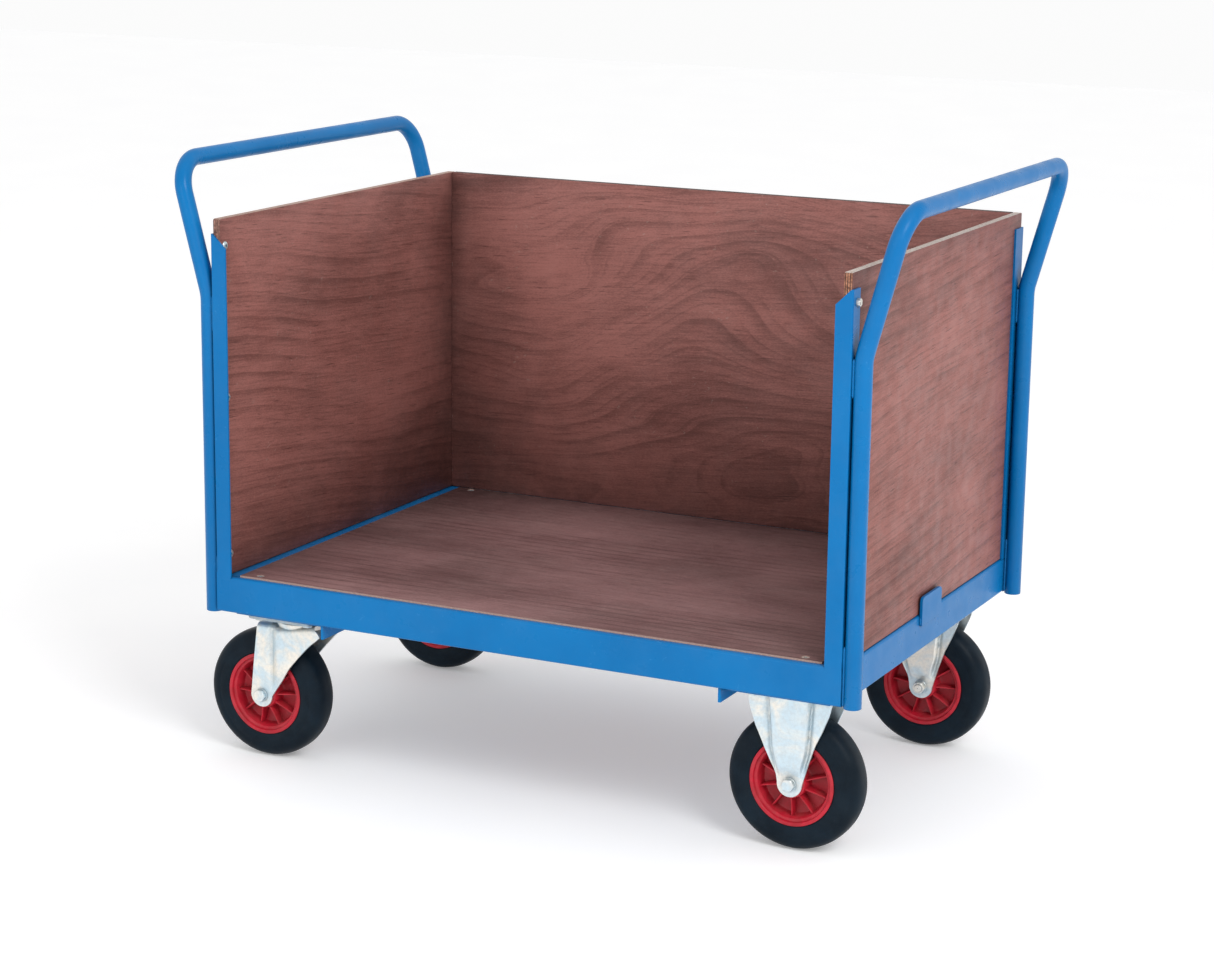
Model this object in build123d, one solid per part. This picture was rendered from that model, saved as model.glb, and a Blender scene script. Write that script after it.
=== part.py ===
"""Three-sided platform truck: a folded steel base frame on four castors, a plywood deck and
three plywood panels, angle-iron corner posts and two bent tube handles.

Frame of the model: millimetres, +Z up, origin on the ground at the centre of the overall plan.
+X runs along the length towards the fixed castors, -X towards the swivel castors.
-Y is the open loading side, +Y the side closed by the back panel.
"""

from build123d import *
import math
import os

# ---------------------------------------------------------------- driving dimensions
PLATFORM_LENGTH = 1000.0      # over the end rails
PLATFORM_WIDTH = 700.0        # over the front and rear rails

WHEEL_DIAMETER = 200.0
CASTOR_HEIGHT = 235.0         # ground to the top of a castor plate
CASTOR_X = 406.0              # castor plate centres, each side of the middle
CASTOR_Y = 262.0
SWIVEL_TRAIL = 55.0           # king pin axis to wheel axle

PAD_THICKNESS = 6.0
PAD_SIDE_INSET = 18.0          # pad edge behind the side rail's face
PAD_END_INSET = 22.0
RAIL_DEPTH = 54.0
RAIL_STEEL = 3.0
RAIL_BEND = 4.0               # outside radius of the rail's folds
FRONT_LIP = 12.0              # width of each rail's top lip
REAR_LIP = 20.0
END_LIP = 33.0
SHELF_REACH = 50.0            # rail face to the inner edge of the deck shelf, front and rear
END_SHELF = 27.0
SIDE_FLANGE = 55.0            # bottom flanges
END_FLANGE = 28.0

PLY = 12.0
DECK_PROUD = 2.0              # deck surface above the rail tops
DECK_GAP = 0.5
PANEL_HEIGHT = 534.0
PANEL_GAP = 1.0               # daylight between a panel and the rail it stands on

POST_LEG = 25.0               # corner posts are angle, 25 x 25 in front and 40 x 35 at the rear
REAR_POST_LEG = 40.0
REAR_POST_SIDE = 35.0          # the rear posts' leg along the truck's end
POST_STEEL = 3.0
POST_HEIGHT = 513.0
POST_BEVEL = 22.0             # drop of the sloping cut at a post's top

TUBE_DIAMETER = 25.0
TUBE_WALL = 2.0
HANDLE_KINK_Z = 716.0
HANDLE_BAR_Z = 910.0
HANDLE_REACH = 52.0           # how far the grip bar stands out beyond the uprights
HANDLE_BEND = 50.0
KINK_BEND = 70.0
TUBE_HANG = 2.5               # tube ends below the rails

TAB_LENGTH = 80.0
TAB_HEIGHT = 42.0
TAB_STEEL = 4.0
TAB_RISE = 27.0               # how far a tab stands above the rail tops
TAB_Y = -9.0                  # centre of the tab along the end rail
TAB_CORNER = 8.0

CROSS_STEEL = 4.0
CROSS_X = 320.0
CROSS_HANG = 21.0             # depth of a cross member below the rails
CROSS_FLANGE = 30.0

SCREW_RISES = (33.0, 270.0, 495.0)   # fixing heights above the rail tops
DECK_SCREW_X = 438.0
DECK_SCREW_EDGE = 12.0        # screw centre to the deck's long edge

# ---------------------------------------------------------------- levels and places worked out
HALF_L = PLATFORM_LENGTH / 2
HALF_W = PLATFORM_WIDTH / 2
AXLE_Z = WHEEL_DIAMETER / 2
RAIL_BOTTOM = CASTOR_HEIGHT + PAD_THICKNESS
RAIL_TOP = RAIL_BOTTOM + RAIL_DEPTH
DECK_TOP = RAIL_TOP + DECK_PROUD
SHELF_TOP = DECK_TOP - PLY
LIP_EDGE_X = HALF_L - END_LIP
FRONT_LIP_Y = -HALF_W + FRONT_LIP
REAR_LIP_Y = HALF_W - REAR_LIP
PANEL_BOTTOM = RAIL_TOP + PANEL_GAP
PANEL_TOP = PANEL_BOTTOM + PANEL_HEIGHT
END_PANEL_OUT = HALF_L - POST_STEEL
END_PANEL_IN = END_PANEL_OUT - PLY
BACK_PANEL_OUT = HALF_W - POST_STEEL
BACK_PANEL_IN = BACK_PANEL_OUT - PLY
POST_TOP = RAIL_TOP + POST_HEIGHT
TUBE_R = TUBE_DIAMETER / 2
HANDLE_X = HALF_L + TUBE_R
HANDLE_Y = HALF_W - POST_LEG / 2
POST_BOLT_Y = -HALF_W + POST_LEG / 2 + 2.0
BACK_SCREW_X = END_PANEL_IN - 13.0

SIDES = {"left": -1, "right": 1}
ENDS = {"front": -1, "rear": 1}

os.makedirs("parts", exist_ok=True)


def save(shape, node):
    """Write one node's solids."""
    shape.label = node
    export_step(shape, f"parts/{node}.step")


def block(x, y, z):
    """Axis-aligned box from three (low, high) pairs."""
    size = (x[1] - x[0], y[1] - y[0], z[1] - z[0])
    middle = ((x[0] + x[1]) / 2, (y[0] + y[1]) / 2, (z[0] + z[1]) / 2)
    return Pos(*middle) * Box(*size)


def rod(radius, start, along, length):
    """Round bar from start, running length along a unit direction."""
    return extrude(Plane(origin=start, z_dir=along) * Circle(radius), length)


def group(shapes):
    """Keep separate solids together in one node."""
    return Compound(children=list(shapes))


# ---------------------------------------------------------------- base frame
def rounded(face, corners):
    """Round named corners of a flat outline; corners holds ((x, y), radius) pairs."""
    for (x, y), radius in corners:
        corner = [v for v in face.vertices() if abs(v.X - x) < 1e-6 and abs(v.Y - y) < 1e-6]
        face = fillet(corner, radius)
    return face


def rail_section(lip, shelf_edge, flange):
    """Folded rail: outer web, top lip, step down, deck shelf, and a bottom flange.

    Drawn with x inwards from the outer face and y upwards from the rail's bottom.
    """
    t = RAIL_STEEL
    top = RAIL_DEPTH
    shelf = SHELF_TOP - RAIL_BOTTOM
    outline = Polyline(
        (0, 0), (0, top), (lip, top), (lip, shelf), (shelf_edge, shelf),
        (shelf_edge, shelf - t), (lip - t, shelf - t), (lip - t, top - t),
        (t, top - t), (t, t), (flange, t), (flange, 0), close=True,
    )
    bends = [((0, 0), RAIL_BEND), ((0, top), RAIL_BEND), ((lip, top), RAIL_BEND - 1)]
    folds = [((t, t), RAIL_BEND - t), ((t, top - t), RAIL_BEND - t)]
    return rounded(make_face(outline), bends + folds)


def side_rail(sign, lip):
    """Front (sign -1) or rear (sign +1) rail, full length, with closed ends.

    Beyond the end rails' lips only the web and lip run on to the corner.
    """
    place = Plane(
        origin=(sign * HALF_L, sign * HALF_W, RAIL_BOTTOM), x_dir=(0, -sign, 0), z_dir=(-sign, 0, 0)
    )
    rail = extrude(place * rail_section(lip, SHELF_REACH, SIDE_FLANGE), PLATFORM_LENGTH)
    inner = sorted((sign * (HALF_W - lip), sign * (HALF_W - 2 * SIDE_FLANGE)))
    outer = sorted((sign * (HALF_W - RAIL_BEND / 4), sign * (HALF_W - lip)))
    levels = (RAIL_BOTTOM, RAIL_TOP)
    for end in (-1, 1):
        rail -= block(sorted((end * LIP_EDGE_X, end * (HALF_L + 1))), inner, levels)
        cap_z = (RAIL_BOTTOM + RAIL_STEEL / 2, RAIL_TOP - RAIL_STEEL / 2)
        rail += block(sorted((end * (HALF_L - RAIL_STEEL), end * HALF_L)), outer, cap_z)
    return rail


def end_rail(sign):
    """Left (sign -1) or right (sign +1) rail, fitted between the side rails' lips."""
    length = REAR_LIP_Y - FRONT_LIP_Y
    start = FRONT_LIP_Y if sign > 0 else REAR_LIP_Y
    place = Plane(origin=(sign * HALF_L, start, RAIL_BOTTOM), x_dir=(-sign, 0, 0), z_dir=(0, sign, 0))
    rail = extrude(place * rail_section(END_LIP, END_LIP + END_SHELF, END_FLANGE), length)
    shelf_x = sorted((sign * LIP_EDGE_X, sign * (LIP_EDGE_X - 2 * END_SHELF)))
    shelf_end = HALF_W - SHELF_REACH
    for end in (-1, 1):
        rail -= block(shelf_x, sorted((end * shelf_end, end * HALF_W)), (RAIL_BOTTOM, RAIL_TOP))
    return rail


def cross_member(sign):
    """Folded angle across the frame inside a castor pair; it passes under the side rails."""
    web_x = sorted((sign * (CROSS_X - CROSS_STEEL / 2), sign * (CROSS_X + CROSS_STEEL / 2)))
    flange_x = sorted((sign * (CROSS_X + CROSS_STEEL / 2), sign * (CROSS_X - CROSS_FLANGE)))
    reach = HALF_W - SIDE_FLANGE - 1.0
    foot = HALF_W - 5.0
    web = block(web_x, (-reach, reach), (RAIL_BOTTOM - CROSS_HANG, SHELF_TOP))
    web += block(web_x, (-foot, foot), (RAIL_BOTTOM - CROSS_HANG, RAIL_BOTTOM))
    return web + block(flange_x, (-reach, reach), (SHELF_TOP - CROSS_STEEL, SHELF_TOP))


def castor_pads():
    """Four plates under the rails that carry the castor plates, bored for their bolts."""
    pads = []
    for side in (-1, 1):
        for end in (-1, 1):
            x = sorted((side * (CROSS_X + CROSS_STEEL / 2), side * (HALF_L - PAD_END_INSET)))
            y = sorted((end * (HALF_W - 160.0), end * (HALF_W - PAD_SIDE_INSET)))
            pad = block(x, y, (CASTOR_HEIGHT, RAIL_BOTTOM))
            for bolt_x, bolt_y in bolt_places(side, end):
                pad -= rod(BOLT_HOLE_R, (bolt_x, bolt_y, CASTOR_HEIGHT - 1), (0, 0, 1), 2 * PAD_THICKNESS)
            pads.append(pad)
    return group(pads)


# ---------------------------------------------------------------- posts, panels, deck, handles
def corner_post(side, end):
    """Angle post; its leg along X has a sloping top, high at the corner."""
    t = POST_STEEL
    leg = POST_LEG if end < 0 else REAR_POST_LEG
    side_leg = POST_LEG if end < 0 else REAR_POST_SIDE
    outline = Polyline((0, 0), (leg, 0), (leg, t), (t, t), (t, side_leg), (0, side_leg), close=True)
    post = extrude(rounded(make_face(outline), [((0, 0), t - 0.5)]), POST_HEIGHT)
    slope = Polyline((t, POST_HEIGHT), (leg + 1, POST_HEIGHT), (leg + 1, POST_HEIGHT - POST_BEVEL), close=True)
    post -= extrude(Plane.XZ * make_face(slope), 2 * t, both=True)
    post = Pos(-HALF_L, -HALF_W, RAIL_TOP) * post
    if side > 0:
        post = mirror(post, about=Plane.YZ)
    if end > 0:
        post = mirror(post, about=Plane.XZ)
    for rise in SCREW_RISES:
        if end < 0:
            post -= rod(SCREW_R, (side * END_PANEL_OUT, POST_BOLT_Y, RAIL_TOP + rise), (side, 0, 0), 2 * t)
        else:
            post -= back_screw(side, rise)
    return post


def end_panel(sign):
    """Plywood panel standing on an end rail, drilled for the post screws at its front edge."""
    x = sorted((sign * END_PANEL_IN, sign * END_PANEL_OUT))
    panel = block(x, (-HALF_W + POST_STEEL, BACK_PANEL_OUT), (PANEL_BOTTOM, PANEL_TOP))
    for rise in SCREW_RISES:
        start = (sign * (END_PANEL_IN - 1), POST_BOLT_Y, RAIL_TOP + rise)
        panel -= rod(SCREW_R, start, (sign, 0, 0), PLY + 2)
    return panel


def back_panel():
    """Plywood panel standing on the rear rail between the end panels."""
    panel = block((-END_PANEL_IN, END_PANEL_IN), (BACK_PANEL_IN, BACK_PANEL_OUT), (PANEL_BOTTOM, PANEL_TOP))
    for sign in (-1, 1):
        for rise in SCREW_RISES:
            panel -= back_screw(sign, rise)
    return panel


def deck_screw_places():
    """Plan positions of the deck's countersunk screws."""
    front = FRONT_LIP_Y + DECK_SCREW_EDGE
    rear = REAR_LIP_Y - DECK_SCREW_EDGE
    return [(x, y) for x in (-DECK_SCREW_X, DECK_SCREW_X) for y in (front, rear)]


def deck_screw(x, y):
    """Countersunk screw through the deck and the rail's shelf, its head just under flush."""
    length = PLY + RAIL_STEEL - DECK_SCREW_SINK
    head = Pos(x, y, DECK_TOP - DECK_SCREW_SINK - DECK_HEAD_H / 2) * Cone(SCREW_R, DECK_HEAD_R, DECK_HEAD_H)
    return head + rod(SCREW_R, (x, y, DECK_TOP - DECK_SCREW_SINK - length), (0, 0, 1), length - DECK_HEAD_H / 2)


def deck_board():
    """Plywood deck let into the frame, with countersunk holes at its corners."""
    x = LIP_EDGE_X - DECK_GAP
    board = block((-x, x), (FRONT_LIP_Y + DECK_GAP, REAR_LIP_Y - DECK_GAP), (SHELF_TOP, DECK_TOP))
    for place in deck_screw_places():
        board -= deck_screw(*place)
        board -= rod(DECK_HEAD_R, (*place, DECK_TOP - DECK_SCREW_SINK), (0, 0, 1), 2 * DECK_SCREW_SINK)
    return board


def handle(sign):
    """Bent tube: two uprights, kinked outwards near the top, joined by a grip bar."""
    low = RAIL_BOTTOM - TUBE_HANG
    grip_x = HANDLE_X + HANDLE_REACH
    corners = [
        (sign * HANDLE_X, -HANDLE_Y, low), (sign * HANDLE_X, -HANDLE_Y, HANDLE_KINK_Z),
        (sign * grip_x, -HANDLE_Y, HANDLE_BAR_Z), (sign * grip_x, HANDLE_Y, HANDLE_BAR_Z),
        (sign * HANDLE_X, HANDLE_Y, HANDLE_KINK_Z), (sign * HANDLE_X, HANDLE_Y, low),
    ]
    path = FilletPolyline(*corners, radius=[KINK_BEND, HANDLE_BEND, HANDLE_BEND, KINK_BEND])
    wall = Circle(TUBE_R) - Circle(TUBE_R - TUBE_WALL)
    return sweep(Plane(origin=path @ 0, z_dir=path % 0) * wall, path=path)


def panel_tab(sign):
    """Flat lug welded to the end rail's face, keeping the panel's foot in place."""
    outline = Pos(0, TAB_HEIGHT / 2) * Rectangle(TAB_LENGTH, TAB_HEIGHT)
    outline = fillet(outline.vertices().group_by(Axis.Y)[-1], TAB_CORNER)
    place = Plane(
        origin=(sign * HALF_L, TAB_Y, RAIL_TOP + TAB_RISE - TAB_HEIGHT), x_dir=(0, sign, 0), z_dir=(sign, 0, 0)
    )
    return extrude(place * outline, TAB_STEEL)


# ---------------------------------------------------------------- fasteners
SCREW_R = 3.0
WOODSCREW_R = 2.2
WOODSCREW_HEAD_R = 4.4
WOODSCREW_HEAD_H = 2.4
WOODSCREW_LENGTH = 13.0
SCREW_HEAD_R = 6.5
SCREW_HEAD_H = 3.4
DECK_SCREW_SINK = 0.4
DECK_HEAD_R = 6.0
DECK_HEAD_H = 3.4
NUT_H = 5.0

BOLT_R = 4.0                  # castor plate bolts
BOLT_HOLE_R = 4.5
BOLT_HEAD_AF = 13.0
BOLT_HEAD_H = 5.3
BOLT_NUT_H = 6.5
BOLT_TAIL = 3.0
BOLT_LONG = 105.0             # hole spacing along a plate's long side
BOLT_SHORT = 84.0


def hexagon(across_flats, start, along, height):
    """Hexagonal prism standing on start."""
    radius = across_flats / math.sqrt(3)
    return extrude(Plane(origin=start, z_dir=along) * RegularPolygon(radius, 6), height)


def dome_head(start, along):
    """Low round head with its flat side at start."""
    head = extrude(Plane(origin=start, z_dir=along) * Circle(SCREW_HEAD_R), SCREW_HEAD_H)
    return fillet(head.edges().sort_by(Axis(start, along))[-1], SCREW_HEAD_H * 0.8)


def panel_screws():
    """Six round-head screws from inside the end panels into the front posts."""
    screws = []
    for sign in (-1, 1):
        for rise in SCREW_RISES:
            face = (sign * END_PANEL_IN, POST_BOLT_Y, RAIL_TOP + rise)
            reach = PLY + POST_STEEL
            if rise == SCREW_RISES[-1]:
                reach += NUT_H + 1.0
            screws.append(dome_head(face, (-sign, 0, 0)) + rod(SCREW_R, face, (sign, 0, 0), reach))
    return group(screws)


def panel_nuts():
    """Nuts on the topmost screws, where the handle tube has left the post."""
    nuts = []
    for sign in (-1, 1):
        start = (sign * HALF_L, POST_BOLT_Y, RAIL_TOP + SCREW_RISES[-1])
        nut = hexagon(10.0, start, (sign, 0, 0), NUT_H)
        nuts.append(nut - rod(SCREW_R, start, (sign, 0, 0), NUT_H))
    return group(nuts)


def back_screw(sign, rise):
    """Countersunk wood screw from behind, through a rear post into the back panel."""
    start = (sign * BACK_SCREW_X, HALF_W, RAIL_TOP + rise)
    turned = Rot(-90, 0, 0) * Cone(WOODSCREW_R, WOODSCREW_HEAD_R, WOODSCREW_HEAD_H)
    head = Pos(start[0], HALF_W - WOODSCREW_HEAD_H / 2, start[2]) * turned
    return head + rod(WOODSCREW_R, start, (0, -1, 0), WOODSCREW_LENGTH)


def back_screws():
    """Six wood screws that hold the back panel to the rear posts."""
    return group(back_screw(sign, rise) for sign in (-1, 1) for rise in SCREW_RISES)


def bolt_places(side, end):
    """Four bolt positions of one castor; the swivel plates lie with their long side along Y."""
    long_x = side > 0
    dx = (BOLT_LONG if long_x else BOLT_SHORT) / 2
    dy = (BOLT_SHORT if long_x else BOLT_LONG) / 2
    centre_x = side * CASTOR_X
    centre_y = end * CASTOR_Y
    return [(centre_x + i * dx, centre_y + j * dy) for i in (-1, 1) for j in (-1, 1)]


def bolt_seat(y):
    """Height of the face under a castor bolt's nut: a rail flange near the edge, else the pad."""
    on_flange = abs(y) > HALF_W - SIDE_FLANGE
    return RAIL_BOTTOM + (RAIL_STEEL if on_flange else 0.0)


def castor_bolts():
    """Bolts that hold all four castors, heads down."""
    bolts = []
    for side in (-1, 1):
        for end in (-1, 1):
            for x, y in bolt_places(side, end):
                seat = CASTOR_HEIGHT - PLATE_STEEL
                top = bolt_seat(y) + BOLT_NUT_H + BOLT_TAIL
                head = hexagon(BOLT_HEAD_AF, (x, y, seat), (0, 0, -1), BOLT_HEAD_H)
                bolts.append(head + rod(BOLT_R, (x, y, seat), (0, 0, 1), top - seat))
    return group(bolts)


def castor_nuts():
    """Nuts of the castor bolts, inside the frame."""
    nuts = []
    for side in (-1, 1):
        for end in (-1, 1):
            for x, y in bolt_places(side, end):
                start = (x, y, bolt_seat(y))
                nut = hexagon(BOLT_HEAD_AF, start, (0, 0, 1), BOLT_NUT_H)
                nuts.append(nut - rod(BOLT_R, start, (0, 0, 1), BOLT_NUT_H))
    return group(nuts)


def drill_bolts(shape, side, end):
    """Bore the castor bolt holes through a rail or a castor plate."""
    for x, y in bolt_places(side, end):
        shape -= rod(BOLT_HOLE_R, (x, y, CASTOR_HEIGHT - 2 * PLATE_STEEL), (0, 0, 1), 20.0)
    return shape


# ---------------------------------------------------------------- castors
PLATE_STEEL = 4.0
PLATE_LONG = 140.0
PLATE_SHORT = 112.0
PLATE_CORNER = 12.0
LEG_STEEL = 4.0
LEG_INNER = 29.0              # wheel's middle plane to the inside of a leg
LEG_END_R = 20.0              # rounded lower end of a leg
RIB_RAISE = 3.0               # pressed step in a leg
FIXED_RIB_HALF = 30.0
FIXED_TOP_HALF = 66.0
AXLE_R = 6.0
AXLE_HOLE_R = 6.1
AXLE_HEAD_AF = 18.0
AXLE_HEAD_H = 7.0
AXLE_NUT_H = 9.0
AXLE_TAIL = 3.0

HEAD_STEEL = 4.0              # swivel head
HEAD_TOP = 220.0
HEAD_R = 38.0
RACE_R = 28.0
BALL_R = 3.0
BALLS = 18
BALL_Z = 222.3
SKIRT_R = 41.0
SKIRT_STEEL = 1.5
KING_R = 8.0
KING_HEAD_R = 13.0
KING_HEAD_H = 6.0
RUNNING_GAP = 0.3
STRIP_EDGE = 19.5             # swivel leg's upright strip, either side of the axle
FLARE_START = 20.0            # where the leg starts to flare, from the axle towards the king pin
FLARE_END = 36.0
FLARE = 7.0
HEAD_REACH = 53.0             # king pin axis to the end of the leg away from the wheel

RIM_R = 66.0
RIM_HALF = 23.0
RIM_INNER_R = 53.0
RIDGE_R = 71.0                # ridge that keys the tyre to the centre
RIDGE_HALF = 9.0
WEB_HALF = 2.5
WHEEL_RIBS = 10
RIB_THICK = 3.2
WHEEL_RIB_HALF = 17.0
HUB_R = 21.0
HUB_HALF = 27.0
HUB_BORE_R = 15.0
TYRE_HALF = 25.0
TREAD_HALF = 15.0
SHOULDER = 9.0
SLEEVE_R = 10.0
ROLLERS = 8
ROLLER_R = 2.4
ROLLER_HALF = 20.0
CAGE_R = (11.3, 13.7)
CAGE_HALF = 24.0
RIB_PHASE = {("left", "front"): 3.0, ("left", "rear"): 21.0, ("right", "front"): 16.0, ("right", "rear"): -2.0}


def axle_x(side):
    """X of a wheel's axle: the swivel castors trail outwards."""
    if side < 0:
        return -CASTOR_X - SWIVEL_TRAIL
    return CASTOR_X


def castor_plate(side, end):
    """Drilled castor plate with rounded corners."""
    width = PLATE_LONG if side > 0 else PLATE_SHORT
    depth = PLATE_SHORT if side > 0 else PLATE_LONG
    outline = RectangleRounded(width, depth, PLATE_CORNER)
    bottom = CASTOR_HEIGHT - PLATE_STEEL
    plate = extrude(Pos(side * CASTOR_X, end * CASTOR_Y, bottom) * outline, PLATE_STEEL)
    return drill_bolts(plate, side, end)


def pressed_leg(outer_points, profile, top):
    """One fork leg: a bent sheet section standing upright, trimmed to its side profile.

    outer_points is the sheet's outer line in plan, profile its outline seen along Y.
    """
    outer = list(outer_points)
    inner = [(x, y - LEG_STEEL) for x, y in reversed(outer)]
    sheet = extrude(make_face(Polyline(*outer, *inner, close=True)), top)
    cutter = Plane(origin=(0, 0, 0), x_dir=(1, 0, 0), z_dir=(0, -1, 0)) * profile
    return sheet & extrude(cutter, -100.0)


def fixed_leg():
    """V-shaped leg of a fixed castor in the castor's own plan frame, on its +Y side."""
    skin = LEG_INNER + LEG_STEEL
    wide = FIXED_TOP_HALF + 5.0
    step = 3.0
    half = FIXED_RIB_HALF
    plan = [
        (-wide, skin), (-half - step, skin), (-half + step, skin + RIB_RAISE),
        (half - step, skin + RIB_RAISE), (half + step, skin), (wide, skin),
    ]
    top = CASTOR_HEIGHT - PLATE_STEEL / 2
    blade = Polyline((-LEG_END_R, AXLE_Z), (-FIXED_TOP_HALF, top), (FIXED_TOP_HALF, top), (LEG_END_R, AXLE_Z),
                     close=True)
    profile = make_face(blade) + Pos(0, AXLE_Z) * Circle(LEG_END_R)
    return pressed_leg(plan, profile, top)


def fixed_bracket(end):
    """Fixed castor's pressed bracket: plate and two ribbed legs bored for the axle."""
    leg = fixed_leg()
    legs = leg + mirror(leg, about=Plane.XZ)
    bracket = Pos(CASTOR_X, end * CASTOR_Y, 0) * legs + castor_plate(1, end)
    return bracket - rod(AXLE_HOLE_R, (CASTOR_X, end * CASTOR_Y - 60, AXLE_Z), (0, 1, 0), 120)


def swivel_leg():
    """Leg of a swivel fork on its +Y side, with x measured from the king pin axis.

    An upright strip carries the axle; beside it the sheet flares out under the swivel head.
    """
    skin = LEG_INNER + LEG_STEEL
    axle = -SWIVEL_TRAIL
    plan = [
        (axle - STRIP_EDGE - 2, skin), (axle + FLARE_START, skin),
        (axle + FLARE_END, skin + FLARE), (HEAD_REACH + 2, skin + FLARE),
    ]
    head = HEAD_TOP - HEAD_STEEL / 2
    outline = Polyline(
        (axle - STRIP_EDGE, AXLE_Z), (axle - STRIP_EDGE, head), (HEAD_REACH - 12, head),
        (HEAD_REACH, head - 11), (axle + LEG_END_R * 0.9, AXLE_Z + 8), (axle, AXLE_Z), close=True,
    )
    profile = make_face(outline) + Pos(axle, AXLE_Z) * Circle(STRIP_EDGE)
    return pressed_leg(plan, profile, head)


def swivel_fork(end):
    """Swivel castor's fork: head with a ball groove and king pin hole, and two legs."""
    leg = swivel_leg()
    skin = LEG_INNER + LEG_STEEL
    left = -SWIVEL_TRAIL - STRIP_EDGE
    bottom = HEAD_TOP - HEAD_STEEL
    head = Pos(0, 0, bottom + HEAD_STEEL / 2) * Cylinder(HEAD_R, HEAD_STEEL)
    head += block((left, HEAD_REACH - 14), (-skin + 1, skin - 1), (bottom, HEAD_TOP))
    fork = head + leg + mirror(leg, about=Plane.XZ)
    fork -= rod(KING_R + 0.05, (0, 0, bottom - 1), (0, 0, 1), HEAD_STEEL + 2)
    fork -= Pos(0, 0, BALL_Z) * Torus(RACE_R, BALL_R + 0.05)
    fork -= rod(AXLE_HOLE_R, (-SWIVEL_TRAIL, -60, AXLE_Z), (0, 1, 0), 120)
    return Pos(-CASTOR_X, end * CASTOR_Y, 0) * fork


def swivel_plate(end):
    """Swivel castor's plate, with the upper race ring, the dust skirt and the king pin hole."""
    x, y = -CASTOR_X, end * CASTOR_Y
    bottom = CASTOR_HEIGHT - PLATE_STEEL
    race_bottom = BALL_Z + BALL_R + RUNNING_GAP - 0.9
    race = Circle(RACE_R + 6.0) - Circle(RACE_R - 6.0)
    skirt = Circle(SKIRT_R) - Circle(SKIRT_R - SKIRT_STEEL)
    plate = castor_plate(-1, end)
    plate += extrude(Pos(x, y, race_bottom) * race, bottom - race_bottom)
    plate += extrude(Pos(x, y, HEAD_TOP + 1.5) * skirt, bottom - HEAD_TOP - 1.5)
    plate -= Pos(x, y, BALL_Z) * Torus(RACE_R, BALL_R + RUNNING_GAP)
    return plate - rod(KING_R, (x, y, bottom - 1), (0, 0, 1), PLATE_STEEL + 2)


def swivel_balls(end):
    """Ball ring of a swivel head."""
    ball = Pos(RACE_R, 0, 0) * Sphere(BALL_R)
    ring = [Rot(0, 0, i * 360 / BALLS) * ball for i in range(BALLS)]
    return group(Pos(-CASTOR_X, end * CASTOR_Y, BALL_Z) * one for one in ring)


def king_pin(end):
    """Riveted pin through plate and fork head, with a broad head under the fork."""
    x, y = -CASTOR_X, end * CASTOR_Y
    head_top = HEAD_TOP - HEAD_STEEL - RUNNING_GAP
    shank = rod(KING_R, (x, y, head_top), (0, 0, 1), CASTOR_HEIGHT - head_top)
    return shank + rod(KING_HEAD_R, (x, y, head_top), (0, 0, -1), KING_HEAD_H)


def leg_face(side):
    """Wheel's middle plane to the outside of a leg at the axle."""
    return LEG_INNER + LEG_STEEL + (RIB_RAISE if side > 0 else 0.0)


def axle_bolt(side, end):
    """Hexagon bolt with its head on the truck's outer side."""
    x, y = axle_x(side), end * CASTOR_Y
    face = leg_face(side)
    length = 2 * face + AXLE_NUT_H + AXLE_TAIL
    start = (x, y + end * face, AXLE_Z)
    return hexagon(AXLE_HEAD_AF, start, (0, end, 0), AXLE_HEAD_H) + rod(AXLE_R, start, (0, -end, 0), length)


def axle_nut(side, end):
    """Nut on the inner end of an axle bolt."""
    start = (axle_x(side), end * CASTOR_Y - end * leg_face(side), AXLE_Z)
    nut = hexagon(AXLE_HEAD_AF, start, (0, -end, 0), AXLE_NUT_H)
    return nut - rod(AXLE_R, start, (0, -end, 0), AXLE_NUT_H)


def wheel_ring(side, end, outer, inner, half):
    """Plain ring about a wheel's axle, half its width each side of the middle plane."""
    place = Plane(origin=(axle_x(side), end * CASTOR_Y - half, AXLE_Z), z_dir=(0, 1, 0))
    return extrude(place * (Circle(outer) - Circle(inner)), 2 * half)


def revolved(side, end, points):
    """Turn an outline of (radius, across) points about a wheel's axle."""
    outline = make_face(Polyline(*points, close=True))
    turned = revolve(Plane.XZ * outline, Axis.Z)
    return Pos(axle_x(side), end * CASTOR_Y, AXLE_Z) * (Rot(90, 0, 0) * turned)


def roller_bearing(side, end):
    """Caged roller bearing: a pocketed sleeve and its loose rollers."""
    x, y = axle_x(side), end * CASTOR_Y
    cage = wheel_ring(side, end, CAGE_R[1], CAGE_R[0], CAGE_HALF)
    pitch = (SLEEVE_R + HUB_BORE_R) / 2
    rollers = []
    for i in range(ROLLERS):
        angle = 2 * math.pi * i / ROLLERS
        at = (x + pitch * math.cos(angle), y - ROLLER_HALF, AXLE_Z + pitch * math.sin(angle))
        rollers.append(rod(ROLLER_R, at, (0, 1, 0), 2 * ROLLER_HALF))
        pocket = (at[0], at[1] - 0.5, at[2])
        cage -= rod(ROLLER_R + 0.2, pocket, (0, 1, 0), 2 * ROLLER_HALF + 1)
    return group([cage] + rollers)


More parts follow.
